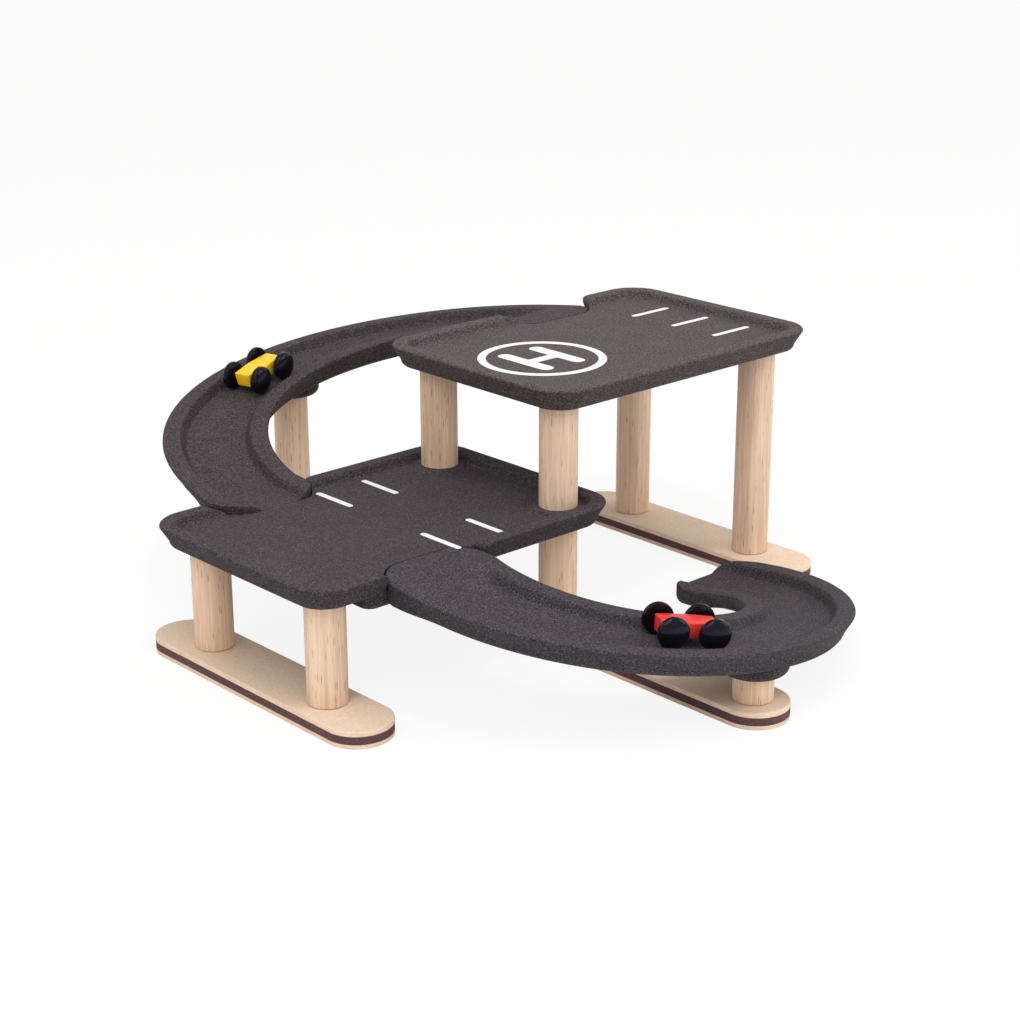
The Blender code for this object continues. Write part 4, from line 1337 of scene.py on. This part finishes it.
class GARAGE_OT_markings(bpy.types.Operator):
    """Lay the white parking lines and the landing mark on the floors"""

    bl_idname = "garage.markings"
    bl_label = "Markings"

    def execute(self, context):
        sizes = context.scene.marking_sizes
        look = finish("white")
        run, width, film = sizes.line_length, sizes.line_width, sizes.film
        lines = []
        for level, floor, places, size in (("lower", LOWER_FLOOR, LOWER_LINES, (width, run)),
                                           ("upper", UPPER_FLOOR, UPPER_LINES, (run, width))):
            for k, place in enumerate(places):
                lines.append(film_of(f"{level}_line_{k + 1}", (*place, floor), size,
                                     width * LINE_ROUND, film))
        x, y = LETTER_PLACE
        leg = sizes.leg_width
        reach = (sizes.letter_width - leg) / 2
        letter, other = [film_of(name, (x + side * reach, y, UPPER_FLOOR),
                                 (leg, sizes.letter_height), leg * LEG_ROUND, film)
                         for name, side in (("landing_letter", -1), ("leg", 1))]
        bar_y = y - BAR_SHIFT
        bar = film_of("bar", (x, bar_y, UPPER_FLOOR), (2 * reach, sizes.bar_width), BAR_ROUND, film)
        combine(letter, bar, "UNION")
        combine(letter, other, "UNION")
        inside = (x - reach + leg / 2, x + reach - leg / 2)
        bevel_edges(letter, lambda e: abs(e.verts[0].co.z - e.verts[1].co.z) > film / 2
                    and min(abs(e.verts[0].co.x - s) for s in inside) < NEAR
                    and abs(abs(e.verts[0].co.y - bar_y) - sizes.bar_width / 2) < NEAR,
                    INSIDE_ROUND, ROUND_STEPS)
        lines.append(letter)
        ring = begin("landing_ring", bpy.ops.mesh.primitive_circle_add, vertices=RING_SEGMENTS,
                     radius=sizes.ring_radius, fill_type="NGON",
                     location=(*RING_PLACE, UPPER_FLOOR + FILM_LIFT))
        edit(ring)
        every()
        bpy.ops.mesh.inset(thickness=sizes.ring_width, depth=0.0)
        bpy.ops.mesh.delete(type="FACE")
        thicken(film)
        leave()
        lines.append(ring)
        for piece in lines:
            settle(piece, "garage", look)
        return {"FINISHED"}


class GARAGE_OT_stage(bpy.types.Operator):
    """Set the floor, the light and the camera"""

    bl_idname = "garage.stage"
    bl_label = "Stage"

    def execute(self, context):
        settings = context.scene.stage_settings
        floor = begin("floor", bpy.ops.mesh.primitive_plane_add, size=FLOOR_SIZE)
        edit(floor)
        every()
        bpy.ops.mesh.subdivide(number_cuts=settings.segments)
        leave()
        material = bpy.data.materials.new("plain_floor")
        by_ray(material, "ShaderNodeOutputMaterial",
               ("ShaderNodeBsdfDiffuse", {"Color": tuple(settings.floor)}),
               ("ShaderNodeEmission", {"Color": WHITE, "Strength": 1.0}),
               1.0 - settings.floor_share)
        floor.data.materials.append(material)

        context.scene.world = bpy.data.worlds.new("even_sky")
        by_ray(context.scene.world, "ShaderNodeOutputWorld",
               ("ShaderNodeBackground", {"Color": SKY_TONE, "Strength": settings.sky}),
               ("ShaderNodeBackground", {"Color": WHITE, "Strength": 1.0}), 1.0)

        for name, place, size in LAMPS:
            light = bpy.data.lights.new(name + "_lamp", "AREA")
            light.shape = "SQUARE"
            light.size = settings.lamp_size * size
            light.energy = getattr(settings, name)
            lamp = add_object(name + "_lamp", light)
            lamp.location = place
            aim = Vector(LAMP_AIM) - Vector(place)
            lamp.rotation_euler = aim.to_track_quat("-Z", "Y").to_euler()

        camera = add_object("camera", bpy.data.cameras.new("camera"))
        ahead, right = Vector(VIEW_AHEAD), Vector(VIEW_RIGHT)
        turn = axes(right, right.cross(ahead), -ahead)
        camera.matrix_world = Matrix.Translation(VIEW_PLACE) @ turn
        camera.data.sensor_width = VIEW_SENSOR
        camera.data.lens = VIEW_LENS
        camera.data.clip_start = VIEW_START
        context.scene.camera = camera
        context.scene.view_settings.view_transform = "Standard"
        return {"FINISHED"}


STEPS = (GARAGE_OT_bases, GARAGE_OT_posts, GARAGE_OT_decks, GARAGE_OT_ramps,
         GARAGE_OT_car_bodies, GARAGE_OT_wheels, GARAGE_OT_axles, GARAGE_OT_markings,
         GARAGE_OT_stage)


class GARAGE_PT_panel(bpy.types.Panel):
    """Sizes, colours and steps of the toy garage"""

    bl_idname = "GARAGE_PT_panel"
    bl_label = "Toy Garage"
    bl_space_type = "VIEW_3D"
    bl_region_type = "UI"
    bl_category = "Toy Garage"

    def draw(self, context):
        scene = context.scene
        for group in (scene.garage_sizes, scene.car_sizes, scene.marking_sizes,
                      scene.garage_colours, scene.stage_settings):
            box = self.layout.box()
            for key in group.__annotations__:
                box.prop(group, key)
        for step in STEPS:
            self.layout.operator(step.bl_idname)


GROUPS = {"garage_sizes": GarageSizes, "car_sizes": CarSizes, "marking_sizes": MarkingSizes,
          "garage_colours": GarageColours, "stage_settings": StageSettings}


def register():
    """Register the classes and hang the settings on the scene."""
    for name, group in GROUPS.items():
        bpy.utils.register_class(group)
        setattr(bpy.types.Scene, name, PointerProperty(type=group))
    for step in STEPS:
        bpy.utils.register_class(step)
    bpy.utils.register_class(GARAGE_PT_panel)


def unregister():
    """Take the classes and settings away again."""
    bpy.utils.unregister_class(GARAGE_PT_panel)
    for step in reversed(STEPS):
        bpy.utils.unregister_class(step)
    for name, group in GROUPS.items():
        delattr(bpy.types.Scene, name)
        bpy.utils.unregister_class(group)


def main():
    """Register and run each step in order."""
    register()
    for step in STEPS:
        group, name = step.bl_idname.split(".")
        getattr(getattr(bpy.ops, group), name)()


if __name__ == "__main__":
    main()
